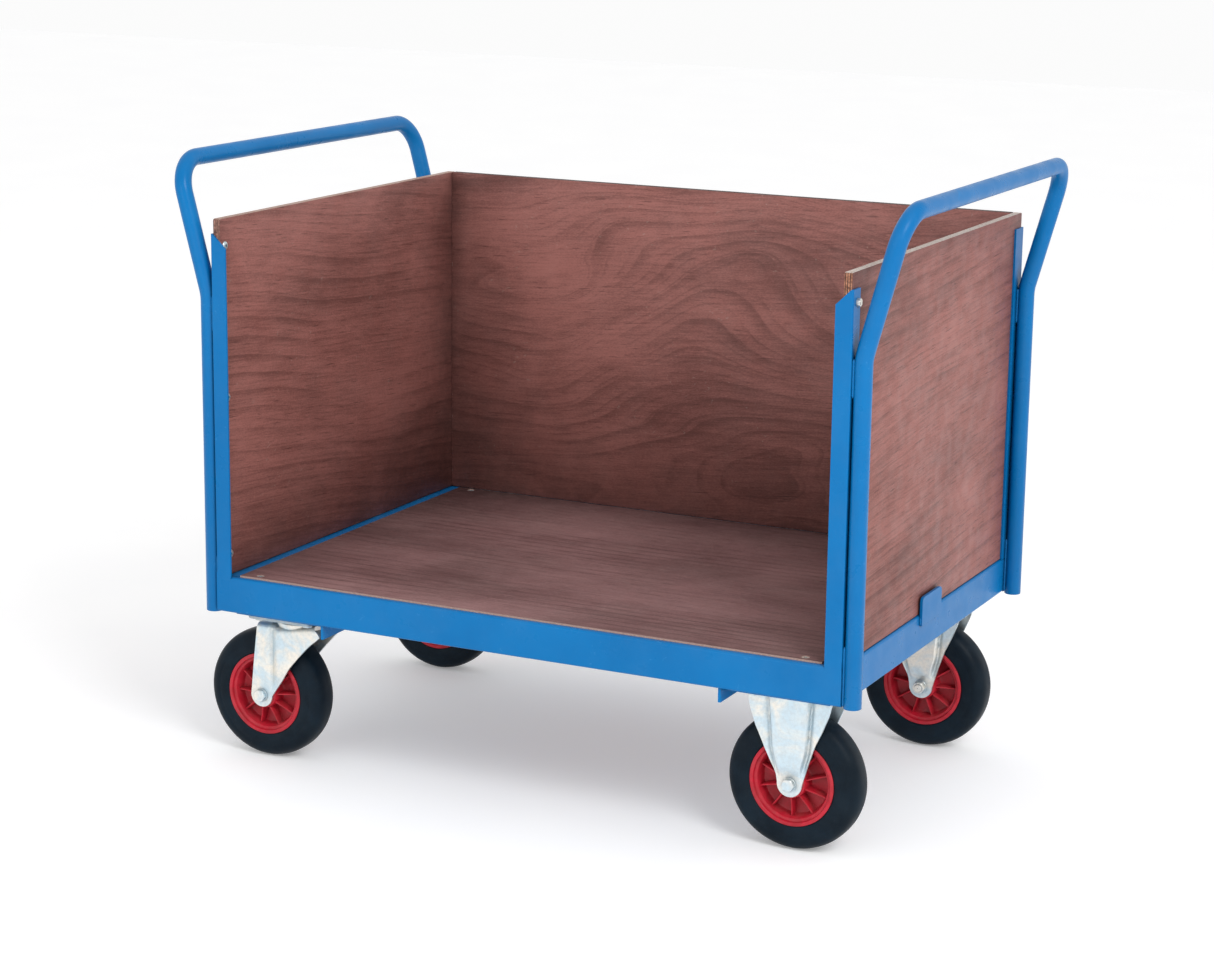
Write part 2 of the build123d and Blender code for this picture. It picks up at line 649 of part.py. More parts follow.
def wheel_centre(side, end, phase):
    """Moulded centre: hub, web, radial ribs and a rim with a ridge for the tyre."""
    points = [
        (HUB_BORE_R, -HUB_HALF), (HUB_R, -HUB_HALF), (HUB_R, -WEB_HALF), (RIM_INNER_R + 3, -WEB_HALF),
        (RIM_INNER_R, -RIM_HALF), (RIM_R, -RIM_HALF), (RIM_R, -RIDGE_HALF), (RIDGE_R, -RIDGE_HALF),
        (RIDGE_R, RIDGE_HALF), (RIM_R, RIDGE_HALF), (RIM_R, RIM_HALF), (RIM_INNER_R, RIM_HALF),
        (RIM_INNER_R + 3, WEB_HALF), (HUB_R, WEB_HALF), (HUB_R, HUB_HALF), (HUB_BORE_R, HUB_HALF),
    ]
    centre = revolved(side, end, points)
    x, y = axle_x(side), end * CASTOR_Y
    reach = RIM_INNER_R + 2 - HUB_R + 2
    for i in range(WHEEL_RIBS):
        rib = Pos(HUB_R - 2 + reach / 2, 0, 0) * Box(reach, 2 * WHEEL_RIB_HALF, RIB_THICK)
        turn = -(phase + i * 360 / WHEEL_RIBS)
        centre += Pos(x, y, AXLE_Z) * (Rot(0, turn, 0) * rib)
    return centre


def tyre(side, end):
    """Solid rubber tyre with rounded shoulders, keyed onto the rim's ridge."""
    outer = WHEEL_DIAMETER / 2
    points = [
        (RIM_R, -RIM_HALF), (outer - 24, -TYRE_HALF), (outer - SHOULDER, -TYRE_HALF + 1),
        (outer - 2.5, -TREAD_HALF - 3), (outer, -TREAD_HALF + 3), (outer, TREAD_HALF - 3),
        (outer - 2.5, TREAD_HALF + 3), (outer - SHOULDER, TYRE_HALF - 1), (outer - 24, TYRE_HALF),
        (RIM_R, RIM_HALF), (RIM_R, RIDGE_HALF), (RIDGE_R, RIDGE_HALF), (RIDGE_R, -RIDGE_HALF),
        (RIM_R, -RIDGE_HALF),
    ]
    return revolved(side, end, points)


# ---------------------------------------------------------------- write every node
rails = {"front_rail": side_rail(-1, FRONT_LIP), "rear_rail": side_rail(1, REAR_LIP)}
for rail_name, rail_end in (("front_rail", -1), ("rear_rail", 1)):
    for rail_side in (-1, 1):
        rails[rail_name] = drill_bolts(rails[rail_name], rail_side, rail_end)
    for screw_x, screw_y in deck_screw_places():
        rails[rail_name] -= rod(SCREW_R, (screw_x, screw_y, SHELF_TOP - 2 * RAIL_STEEL), (0, 0, 1), 20.0)
    save(rails[rail_name], rail_name)

save(deck_board(), "deck_board")
save(back_panel(), "back_panel")
save(castor_pads(), "castor_pads")
save(group(deck_screw(*place) for place in deck_screw_places()), "deck_screws")
save(panel_screws(), "panel_screws")
save(panel_nuts(), "panel_nuts")
save(back_screws(), "back_screws")
save(castor_bolts(), "castor_bolts")
save(castor_nuts(), "castor_nuts")

for side_name, side in SIDES.items():
    save(end_rail(side), f"end_rail_{side_name}")
    save(cross_member(side), f"cross_member_{side_name}")
    save(end_panel(side), f"end_panel_{side_name}")
    save(handle(side), f"handle_{side_name}")
    save(panel_tab(side), f"panel_tab_{side_name}")
    for end_name, end in ENDS.items():
        corner = f"{end_name}_{side_name}"
        save(corner_post(side, end), f"post_{corner}")

        save(axle_bolt(side, end), f"axle_bolt_{corner}")
        save(axle_nut(side, end), f"axle_nut_{corner}")
        save(wheel_ring(side, end, SLEEVE_R, AXLE_HOLE_R, LEG_INNER), f"axle_sleeve_{corner}")
        save(roller_bearing(side, end), f"roller_bearing_{corner}")
        save(wheel_centre(side, end, RIB_PHASE[(side_name, end_name)]), f"wheel_centre_{corner}")
        save(tyre(side, end), f"tyre_{corner}")
        if side > 0:
            save(fixed_bracket(end), f"fixed_bracket_{corner}")
        else:
            save(swivel_plate(end), f"swivel_plate_{corner}")
            save(swivel_balls(end), f"swivel_balls_{corner}")
            save(king_pin(end), f"king_pin_{corner}")
            save(swivel_fork(end), f"swivel_fork_{corner}")
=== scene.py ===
"""Looks of the three-sided platform truck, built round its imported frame.

Sizes are in millimetres and angles in degrees unless a name says otherwise; meshes are written in metres.
"""

from __future__ import annotations

import logging
import math
from dataclasses import dataclass, field
from enum import Enum
from typing import Callable, Iterable, Sequence

import bmesh
import bpy
from mathutils import Matrix, Quaternion, Vector, noise


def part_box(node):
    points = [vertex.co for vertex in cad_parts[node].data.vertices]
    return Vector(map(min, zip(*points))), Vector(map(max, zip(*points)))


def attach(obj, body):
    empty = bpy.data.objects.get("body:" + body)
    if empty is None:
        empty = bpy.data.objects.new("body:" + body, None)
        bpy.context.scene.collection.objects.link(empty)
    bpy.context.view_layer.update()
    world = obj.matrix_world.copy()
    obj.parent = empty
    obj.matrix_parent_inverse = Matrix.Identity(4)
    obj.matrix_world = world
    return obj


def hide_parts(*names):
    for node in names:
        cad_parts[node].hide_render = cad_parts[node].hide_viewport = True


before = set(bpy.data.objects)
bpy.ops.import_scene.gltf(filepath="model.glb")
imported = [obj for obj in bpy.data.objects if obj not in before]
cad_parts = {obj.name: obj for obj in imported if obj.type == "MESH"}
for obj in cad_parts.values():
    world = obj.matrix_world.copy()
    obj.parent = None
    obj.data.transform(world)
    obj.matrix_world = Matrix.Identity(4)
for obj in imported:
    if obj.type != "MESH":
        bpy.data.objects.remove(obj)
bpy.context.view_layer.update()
MM = 0.001
LOG = logging.getLogger("platform_truck")

Colour = tuple[float, float, float, float]
Curve = tuple[tuple[float, float], ...]
Reach = float | Callable[[float], float]
Node = bpy.types.Node
NodeTree = bpy.types.NodeTree
Piece = bpy.types.Object
Socket = bpy.types.NodeSocket


class Axis(Enum):
    """Axes of the row frame, by their index."""

    X = 0
    Y = 1
    Z = 2


# ------------------------------------------------------------------ small geometry helpers
def smooth(low: float, high: float, value: float) -> float:
    """Ramp softly from 0 at low to 1 at high.

    Args:
        low: Value at or before which the ramp is 0.
        high: Value at or past which the ramp is 1.
        value: Where to read the ramp.

    Returns:
        The ramp's height, 0 to 1.
    """
    t = min(1.0, max(0.0, (value - low) / (high - low)))
    return t * t * (3 - 2 * t)


def along_curve(points: Curve, at: float) -> float:
    """Read a line of (position, value) points.

    Args:
        points: Points in rising order of position.
        at: Position to read.

    Returns:
        The value there, held constant past either end.
    """
    if at <= points[0][0]:
        return points[0][1]
    for (a, va), (b, vb) in zip(points, points[1:]):
        if at <= b:
            return va + (vb - va) * (at - a) / (b - a)
    return points[-1][1]


def mirrored(half: Curve) -> Curve:
    """Turning profile of (radius, along) points, with its other half added."""
    return half + tuple((radius, -along) for radius, along in reversed(half))


def node_box(node: str) -> tuple[Vector, Vector]:
    """Lowest and highest corner of a CAD node, in millimetres."""
    low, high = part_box(node)
    return low / MM, high / MM


def node_middle(node: str) -> Vector:
    """Middle of a CAD node's box, in millimetres."""
    low, high = node_box(node)
    return (low + high) / 2


def rounded_path(corners: Sequence[Vector], radii: Sequence[float]) -> list[Vector]:
    """Join corners by straight runs and tangent arcs.

    Args:
        corners: Ends and corners of the path.
        radii: Bend radius of each inner corner.

    Returns:
        The path's points in order.
    """
    arc_step = 3.0
    path = [corners[0]]
    for before, corner, after, radius in zip(corners, corners[1:], corners[2:], radii):
        back = (before - corner).normalized()
        ahead = (after - corner).normalized()
        half = back.angle(ahead) / 2
        centre = corner + (back + ahead).normalized() * radius / math.sin(half)
        start = corner + back * radius / math.tan(half) - centre
        turn = math.pi - 2 * half
        pieces = max(2, round(math.degrees(turn) / arc_step))
        path += [centre + Quaternion(ahead.cross(back), turn * i / pieces) @ start for i in range(pieces + 1)]
    return path + [corners[-1]]


def rectangle_outline(width: float, height: float, corner: float) -> list[Vector]:
    """Rounded rectangle centred on the origin.

    Args:
        width: Size along the first direction.
        height: Size along the second direction.
        corner: Corner radius.

    Returns:
        Points in order round the outline, as flat vectors with z 0.
    """
    side_step = 30.0
    inner_x, inner_y = width / 2 - corner, height / 2 - corner
    arcs = []
    for quarter, (sx, sy) in enumerate(((1, 1), (-1, 1), (-1, -1), (1, -1))):
        angles = [math.radians(90 * quarter + 22.5 * i) for i in range(5)]
        arcs.append([Vector((sx * inner_x + corner * math.cos(a), sy * inner_y + corner * math.sin(a), 0))
                     for a in angles])
    points: list[Vector] = []
    for arc, following in zip(arcs, arcs[1:] + arcs[:1]):
        pieces = max(1, round((following[0] - arc[-1]).length / side_step))
        points += arc + [arc[-1].lerp(following[0], i / pieces) for i in range(1, pieces)]
    return points


class MeshDraft:
    """Collects points and faces in millimetres and turns them into one Blender object."""

    def __init__(self) -> None:
        """Start with nothing drawn."""
        self.points: list[Vector] = []
        self.faces: list[tuple[int, ...]] = []

    def ring(self, points: Iterable[Vector]) -> list[int]:
        """Add points.

        Args:
            points: The points in order.

        Returns:
            Their numbers.
        """
        start = len(self.points)
        self.points.extend(points)
        return list(range(start, len(self.points)))

    def circle(self, place: Matrix, reach: Reach, along: float, count: int) -> list[int]:
        """Add points round a placement's Z axis.

        Args:
            place: Turns and moves the circle's own axes.
            reach: Radius, or the radius at an angle in radians.
            along: Level on the axis.
            count: Number of points.

        Returns:
            Their numbers.
        """
        angles = [2 * math.pi * i / count for i in range(count)]
        radii = [reach(a) if callable(reach) else reach for a in angles]
        return self.ring(place @ Vector((radius * math.cos(a), radius * math.sin(a), along))
                         for a, radius in zip(angles, radii))

    def bridge(self, first: Sequence[int], second: Sequence[int], closed: bool = True) -> None:
        """Join two rings of equal length with four-sided faces.

        Args:
            first: Numbers of one ring's points.
            second: Numbers of the other ring's points.
            closed: Whether the last points join back to the first.
        """
        count = len(first)
        for i in range(count if closed else count - 1):
            j = (i + 1) % count
            self.faces.append((first[i], first[j], second[j], second[i]))

    def cap(self, ring: Sequence[int]) -> None:
        """Close a ring with one face."""
        self.faces.append(tuple(ring))

    def skin(self, rings: Sequence[Sequence[int]], caps: bool = True) -> None:
        """Join rings in their order.

        Args:
            rings: Rings of equal length.
            caps: Whether the first and last ring are closed.
        """
        for first, second in zip(rings, rings[1:]):
            self.bridge(first, second)
        if caps:
            self.cap(rings[0])
            self.cap(rings[-1])

    def build(self, name: str, finish: Finish, sharp: float = 32.0, bevel: float = 0.0) -> Piece:
        """Make the object.

        Args:
            name: Name of the piece.
            finish: Its finish.
            sharp: Angle past which an edge is shaded sharp.
            bevel: Width of a rounding put on hard edges, or 0.

        Returns:
            The new object, at the origin.
        """
        mesh = bpy.data.meshes.new(name)
        mesh.from_pydata([p * MM for p in self.points], [], self.faces)
        mesh.materials.append(finish.material())
        work = bmesh.new()
        work.from_mesh(mesh)
        bmesh.ops.remove_doubles(work, verts=work.verts, dist=1e-6)
        bmesh.ops.recalc_face_normals(work, faces=work.faces)
        work.to_mesh(mesh)
        work.free()
        for polygon in mesh.polygons:
            polygon.use_smooth = True
        mesh.set_sharp_from_angle(angle=math.radians(sharp))
        piece = bpy.data.objects.new(name, mesh)
        bpy.context.scene.collection.objects.link(piece)
        if bevel:
            rounding = piece.modifiers.new("edge_rounding", "BEVEL")
            rounding.width = bevel * MM
            rounding.segments = 2
            rounding.limit_method = "ANGLE"
            rounding.angle_limit = math.radians(50)
            rounding.harden_normals = True
        return piece


def lathe(draft: MeshDraft, profile: Sequence[tuple[float, float]], place: Matrix, segments: int) -> None:
    """Turn a closed profile about the place's Z axis.

    Args:
        draft: Where the faces go.
        profile: (radius, along) points.
        place: Turns and moves the lathe's own axes.
        segments: Number of steps round.
    """
    rings = [draft.circle(place, radius, along, segments) for radius, along in profile]
    draft.skin(rings + rings[:1], caps=False)


def sweep(draft: MeshDraft, path: Sequence[Vector], radii: Sequence[float], sides: int,
          tangents: Sequence[Vector] = (), normal: Vector | None = None) -> None:
    """Carry a round section along a path.

    Args:
        draft: Where the faces go.
        path: Points of the centreline.
        radii: Section radius at each point.
        sides: Points round the section.
        tangents: Direction at each point, where the path itself doesn't give it.
        normal: Where the section's first point lies at the start, if that matters.
    """
    last = len(path) - 1
    if not tangents:
        tangents = [(path[min(i + 1, last)] - path[max(i - 1, 0)]).normalized() for i in range(last + 1)]
    normal = (path[1] - path[0]).orthogonal().normalized() if normal is None else normal
    angles = [2 * math.pi * k / sides for k in range(sides)]
    rings = []
    for point, radius, tangent in zip(path, radii, tangents):
        normal = (normal - tangent * normal.dot(tangent)).normalized()
        side = tangent.cross(normal)
        rings.append(draft.ring(point + (normal * math.cos(a) + side * math.sin(a)) * radius for a in angles))
    draft.skin(rings)


def weld_bead(draft: MeshDraft, start: Vector, end: Vector, radius: float) -> None:
    """Lay a rippled weld bead between two points.

    Args:
        draft: Where the faces go.
        start: One end.
        end: The other end.
        radius: Bead radius between its ends.
    """
    length = (end - start).length
    pitch = 1.6
    steps = max(8, round(length / pitch * 4))
    path = [start.lerp(end, i / steps) for i in range(steps + 1)]
    radii = []
    for i, point in enumerate(path):
        travelled = length * i / steps
        ripple = 0.88 + 0.12 * (1 - (travelled / pitch) % 1.0)
        wander = 1 + 0.10 * noise.noise(point * 0.11)
        taper = min(1.0, 0.35 + travelled / (2 * radius), 0.35 + (length - travelled) / (2 * radius))
        radii.append(radius * ripple * wander * taper)
    sweep(draft, path, radii, sides=12)


def turned_to(centre: Vector, direction: Vector) -> Matrix:
    """Placement whose Z axis points in a direction from a centre."""
    return Matrix.Translation(centre) @ Vector((0, 0, 1)).rotation_difference(direction).to_matrix().to_4x4()


def hexagon_radius(across_flats: float, angle: float) -> float:
    """Distance from a hexagon's centre to its edge at an angle in radians."""
    part = (angle % (math.pi / 3)) - math.pi / 6
    return across_flats / 2 / math.cos(part)


def hex_head(draft: MeshDraft, place: Matrix, across: float, height: float, washer: float) -> None:
    """Chamfered hexagon head or nut on a round washer.

    Args:
        draft: Where the faces go.
        place: Seat of the washer, Z outwards.
        across: Size across the flats.
        height: Height above the seat.
        washer: Radius of the washer.
    """
    seat, bore, chamfer = 2.0, across * 0.3, across / 2 * 0.96
    profile = [(washer, 0), (washer, seat - 0.4), (washer - 0.5, seat), (bore, seat), (bore, 0)]
    lathe(draft, profile, place, 48)

    def flats(angle: float) -> float:
        """Edge of the hexagon at an angle."""
        return hexagon_radius(across, angle)

    levels = ((flats, seat), (flats, height - 1.2),
              (lambda a: min(flats(a), across / 2 * 1.04), height - 0.5),
              (chamfer, height), (chamfer * 0.75, height - 0.25))
    draft.skin([draft.circle(place, reach, level, 48) for reach, level in levels])


def socket_screw_head(draft: MeshDraft, place: Matrix, radius: float, crown: float, socket: float) -> None:
    """Round screw head with a hexagon socket.

    Args:
        draft: Where the faces go.
        place: Seat of the head, Z outwards.
        radius: Head radius.
        crown: Height of the dome above the seat.
        socket: Size of the socket across its flats.
    """
    below_seat, socket_depth = 0.6, 1.6
    dome = [(radius * share, crown * math.sqrt(1 - share * share * 0.96))
            for share in (1.0, 0.98, 0.9, 0.75, 0.55)]
    top = dome[-1][1]
    levels = [(radius, -below_seat), *dome]
    levels += [(lambda a: hexagon_radius(socket, a), level) for level in (top, top - socket_depth)]
    draft.skin([draft.circle(place, reach, level, 36) for reach, level in levels])


# ------------------------------------------------------------------ shader building
class Graph:
    """Adds and wires the nodes of one shader tree."""

    def __init__(self, tree: NodeTree) -> None:
        """Work on a tree that already exists."""
        self.tree = tree

    def feed(self, socket: Socket, value: object) -> None:
        """Link or set a socket.

        Args:
            socket: The input to feed.
            value: Another node's output, or a plain value.
        """
        if isinstance(value, Socket):
            self.tree.links.new(value, socket)
        else:
            socket.default_value = value

    def add(self, kind: str, inputs: dict | None = None, **settings: object) -> Node:
        """Add a node.

        Args:
            kind: Blender's type name of the node.
            inputs: Values or sockets for its inputs, by name or number.
            settings: Properties of the node itself.

        Returns:
            The new node.
        """
        node = self.tree.nodes.new(kind)
        for name, value in settings.items():
            setattr(node, name, value)
        for name, value in (inputs or {}).items():
            self.feed(node.inputs[name], value)
        return node

    def math(self, operation: str, *values: object) -> Socket:
        """Add a Math node and return its result."""
        return self.add("ShaderNodeMath", dict(enumerate(values)), operation=operation).outputs[0]

    def plus(self, first: object, second: object) -> Socket:
        """Add two values."""
        return self.math("ADD", first, second)

    def minus(self, first: object, second: object) -> Socket:
        """Take the second value from the first."""
        return self.math("SUBTRACT", first, second)

    def times(self, first: object, second: object) -> Socket:
        """Multiply two values."""
        return self.math("MULTIPLY", first, second)

    def mix(self, factor: object, first: object, second: object) -> Socket:
        """Mix two colours and return the result."""
        return self.add("ShaderNodeMix", {0: factor, 6: first, 7: second}, data_type="RGBA").outputs[2]

    def ramp(self, value: object, low: float, high: float, start: float = 0.0, end: float = 1.0) -> Socket:
        """Map a value smoothly from low..high to start..end and return it."""
        given = {0: value, 1: low, 2: high, 3: start, 4: end}
        return self.add("ShaderNodeMapRange", given, interpolation_type="SMOOTHSTEP").outputs[0]

    def noise(self, vector: object, scale: float, detail: float = 3.0, rough: float = 0.55,
              distortion: float = 0.0) -> Socket:
        """Add a noise texture.

        Args:
            vector: Where it is read.
            scale: Its scale.
            detail: How many finer layers it has.
            rough: Strength of the finer layers.
            distortion: How far it swirls.

        Returns:
            Its value, about 0 to 1.
        """
        given = {"Vector": vector, "Scale": scale, "Detail": detail, "Roughness": rough,
                 "Distortion": distortion}
        return self.add("ShaderNodeTexNoise", given).outputs[0]

    def stretch(self, vector: object, scale: Sequence[float], turn: Sequence[float] = (0, 0, 0)) -> Socket:
        """Turn, then scale, a vector.

        Args:
            vector: The vector.
            scale: Factor along each axis.
            turn: Angle about each axis.

        Returns:
            The new vector.
        """
        given = {"Vector": vector, "Rotation": [math.radians(a) for a in turn]}
        turned = self.add("ShaderNodeMapping", given).outputs[0]
        return self.add("ShaderNodeVectorMath", {0: turned, 1: scale}, operation="MULTIPLY").outputs[0]

    def group(self, tree: NodeTree, **inputs: object) -> Node:
        """Place a shader node group with its values."""
        return self.add("ShaderNodeGroup", inputs, node_tree=tree)

    def split(self, vector: object) -> list[Socket]:
        """Parts of a vector along X, Y and Z."""
        return self.add("ShaderNodeSeparateXYZ", {0: vector}).outputs


def new_group(name: str, inputs: Sequence[tuple[str, str, object]], outputs: Sequence[tuple[str, str]]
              ) -> tuple[Graph, Node, Node]:
    """Start a shader node group.

    Args:
        name: The group's name.
        inputs: (name, kind, default) of each input; kind is Float, Vector or Color.
        outputs: (name, kind) of each output.

    Returns:
        The group's graph, its input node and its output node.
    """
    tree = bpy.data.node_groups.new(name, "ShaderNodeTree")
    for label, kind, default in inputs:
        socket = tree.interface.new_socket(name=label, in_out="INPUT", socket_type=f"NodeSocket{kind}")
        if default is not None:
            socket.default_value = default
    for label, kind in outputs:
        tree.interface.new_socket(name=label, in_out="OUTPUT", socket_type=f"NodeSocket{kind}")
    graph = Graph(tree)
    return graph, graph.add("NodeGroupInput"), graph.add("NodeGroupOutput")


def wood_figure_group() -> NodeTree:
    """Rotary-cut veneer: growth lines, fibres, open pores and broad shade; X runs along the grain.

    Returns:
        Group with Colour and Height outputs.
    """
    colour = (0.2, 0.1, 0.08, 1)
    graph, given, result = new_group(
        "wood_figure",
        [("Vector", "Vector", None), ("Lines", "Float", 30.0), ("Swirl", "Float", 3.0),
         ("Seed", "Float", 0.0),
         ("Dark", "Color", colour), ("Light", "Color", colour)],
        [("Colour", "Color"), ("Height", "Float")],
    )
    offset = graph.add("ShaderNodeCombineXYZ", {0: given.outputs["Seed"], 1: given.outputs["Seed"], 2: 0.0})
    vector = graph.add("ShaderNodeVectorMath", {0: given.outputs["Vector"], 1: offset.outputs[0]}).outputs[0]
    across = graph.split(vector)[1]
    bend = graph.noise(graph.stretch(vector, (1.0, 2.3, 2.3)), 1.5, 1.6, 0.42, 0.45)
    field_line = graph.plus(graph.times(across, given.outputs["Lines"]),
                            graph.times(bend, graph.times(given.outputs["Swirl"], 6.0)))
    lines = None
    for rate, start in ((1.0, 0.50), (2.37, 0.62)):
        turn = graph.math("FRACT", graph.times(field_line, rate))
        late = graph.times(graph.ramp(turn, start, 0.93), graph.ramp(turn, 0.94, 1.0, 1.0, 0.0))
        patches = graph.noise(graph.stretch(vector, (1.0, 3.0, 3.0)), 3.0 * rate, 2.0)
        strength = graph.ramp(patches, 0.30, 0.66)
        line = graph.times(late, strength)
        lines = line if lines is None else graph.math("MAXIMUM", lines, graph.times(line, 0.7))
    fibre = graph.noise(graph.stretch(vector, (16, 330, 330)), 1.0, 4.0, 0.7)
    speck = graph.noise(graph.stretch(vector, (260, 620, 620)), 1.0, 3.0, 0.7)
    cloud = graph.noise(graph.stretch(vector, (1.0, 2.2, 2.2)), 2.6, 4.0, 0.6, 0.4)
    pore = graph.ramp(graph.noise(graph.stretch(vector, (26, 460, 460)), 1.0, 2.0, 0.5), 0.63, 0.72)
    body = graph.plus(graph.times(fibre, 0.46), graph.times(speck, 0.50))
    body = graph.plus(body, graph.times(cloud, 0.80))
    share = graph.ramp(graph.minus(body, graph.times(lines, 0.15)), 0.54, 1.16)
    plain = graph.mix(share, given.outputs["Dark"], given.outputs["Light"])
    shade = graph.mix(0.5, given.outputs["Dark"], (0.02, 0.006, 0.006, 1))
    graph.feed(result.inputs["Colour"], graph.mix(graph.times(pore, 0.6), plain, shade))
    height = graph.minus(graph.times(fibre, 0.6), graph.times(pore, 0.5))
    graph.feed(result.inputs["Height"], height)
    return graph.tree


def worn_edges_group() -> NodeTree:
    """Broken-up mask along convex edges, where a finish rubs through.

    Returns:
        Group with a Mask output.
    """
    graph, given, result = new_group(
        "worn_edges",
        [("Vector", "Vector", None), ("Reach", "Float", 0.0015), ("Scale", "Float", 90.0),
         ("Bite", "Float", 0.5)],
        [("Mask", "Float")],
    )
    bevel = graph.add("ShaderNodeBevel", {"Radius": given.outputs["Reach"]}, samples=6)
    plain = graph.add("ShaderNodeNewGeometry")
    dot = graph.add("ShaderNodeVectorMath", {0: bevel.outputs[0], 1: plain.outputs["Normal"]},
                    operation="DOT_PRODUCT")
    edge = graph.ramp(graph.minus(1.0, dot.outputs["Value"]), 0.02, 0.22)
    patches = graph.noise(given.outputs["Vector"], given.outputs["Scale"], 4.0, 0.7)
    broken = graph.ramp(graph.plus(patches, graph.minus(given.outputs["Bite"], 0.5)), 0.48, 0.60)
    graph.feed(result.inputs["Mask"], graph.times(edge, broken))
    return graph.tree


def settled_dust_group() -> NodeTree:
    """Patchy mask of dust, thickest on faces that look up.

    Returns:
        Group with a Mask output.
    """
    graph, given, result = new_group(
        "settled_dust",
        [("Vector", "Vector", None), ("Scale", "Float", 14.0), ("Amount", "Float", 0.3)],
        [("Mask", "Float")],
    )
    normal = graph.add("ShaderNodeNewGeometry").outputs["Normal"]
    upward = graph.ramp(graph.split(normal)[2], -0.2, 1.0, 0.35, 1.0)
    patches = graph.ramp(graph.noise(given.outputs["Vector"], given.outputs["Scale"], 5.0, 0.68), 0.38, 0.72)
    mask = graph.times(graph.times(upward, patches), given.outputs["Amount"])
    graph.feed(result.inputs["Mask"], mask)
    return graph.tree


def scuff_lines_group() -> NodeTree:
    """Mask of thin rub marks that lie in two directions.

    Returns:
        Group with a Mask output.
    """
    graph, given, result = new_group(
        "scuff_lines", [("Vector", "Vector", None), ("Amount", "Float", 0.5)], [("Mask", "Float")])
    total = None
    for turn, scale in (((10, 4, 24), (9, 260, 200)), ((-30, 12, -14), (240, 12, 190))):
        lines = graph.noise(graph.stretch(given.outputs["Vector"], scale, turn), 1.0, 2.0, 0.5)
        patch = graph.ramp(graph.noise(given.outputs["Vector"], 7.0 + turn[1], 2.0, 0.5), 0.52, 0.66)
        mark = graph.times(graph.ramp(lines, 0.66, 0.74), patch)
        total = mark if total is None else graph.math("MAXIMUM", total, mark)
    graph.feed(result.inputs["Mask"], graph.times(total, given.outputs["Amount"]))
    return graph.tree


def painted_crevice_shade_group() -> NodeTree:
    """Mask of painted shade in inner corners and narrow gaps, where shade falls.

    Returns:
        Group with a Mask output.
    """
    graph, given, result = new_group(
        "painted_crevice_shade",
        [("Vector", "Vector", None), ("Reach", "Float", 0.01), ("Amount", "Float", 0.5),
         ("Open", "Float", 0.90)],
        [("Mask", "Float")],
    )
    reach = {"Distance": given.outputs["Reach"]}
    # An occlusion test: places closed in by nearby parts get painted shade.
    open_share = graph.add("ShaderNodeAmbientOcclusion", reach, samples=8).outputs["AO"]
    patches = graph.ramp(graph.noise(given.outputs["Vector"], 30.0, 3.0, 0.6), 0.25, 0.75, 0.75, 1.0)
    closed = graph.times(graph.ramp(open_share, 0.15, given.outputs["Open"], 1.0, 0.0), patches)
    graph.feed(result.inputs["Mask"], graph.times(closed, given.outputs["Amount"]))
    return graph.tree


class Effects:
    """The shared shader effects, each built once."""

    def __init__(self) -> None:
        """Build every group."""
        self.wood = wood_figure_group()
        self.edges = worn_edges_group()
        self.dust = settled_dust_group()
        self.scuffs = scuff_lines_group()
        # Painted shade for corners, creases and gaps, found by an occlusion test.
        self.painted_shade = painted_crevice_shade_group()


EFFECTS = Effects()


class Surface(Graph):
    """Graph of one material, with its Principled shader and its place on the truck."""

    def __init__(self, material: bpy.types.Material) -> None:
        """Find the shader and read object coordinates.

        Args:
            material: The material, whose nodes are on.
        """
        super().__init__(material.node_tree)
        self.shader = material.node_tree.nodes["Principled BSDF"]
        self.place = self.add("ShaderNodeTexCoord").outputs["Object"]

    def set(self, label: str, value: object) -> None:
        """Feed one input of the shader."""
        self.feed(self.shader.inputs[label], value)

    def mask(self, effect: NodeTree, **inputs: object) -> Socket:
        """Place a shared effect and return its mask."""
        return self.group(effect, Vector=self.place, **inputs).outputs["Mask"]

    def bump(self, height: object, depth: float) -> None:
        """Feed the shader's normal from a height, 1 of which stands for a depth in millimetres."""
        given = {"Height": height, "Distance": depth * MM, "Strength": 1.0}
        self.set("Normal", self.add("ShaderNodeBump", given).outputs[0])


@dataclass(frozen=True)
class Finish:
    """What every finish has: a name, the share of plain gloss, a roughness range and a relief."""

    name: str
    specular: float = 0.5
    rough: tuple[float, float] = (0.3, 0.5)
    relief: float = 0.05

    def material(self) -> bpy.types.Material:
        """Build the material, or find it if it is built.

        Returns:
            The material.
        """
        made = bpy.data.materials.get(self.name)
        if made is None:
            made = bpy.data.materials.new(self.name)
            made.use_nodes = True
            surface = Surface(made)
            surface.set("Specular IOR Level", self.specular)
            self.wire(surface)
        return made

    def wire(self, on: Surface) -> None:
        """Wire the surface; each kind of finish says how."""
        raise NotImplementedError


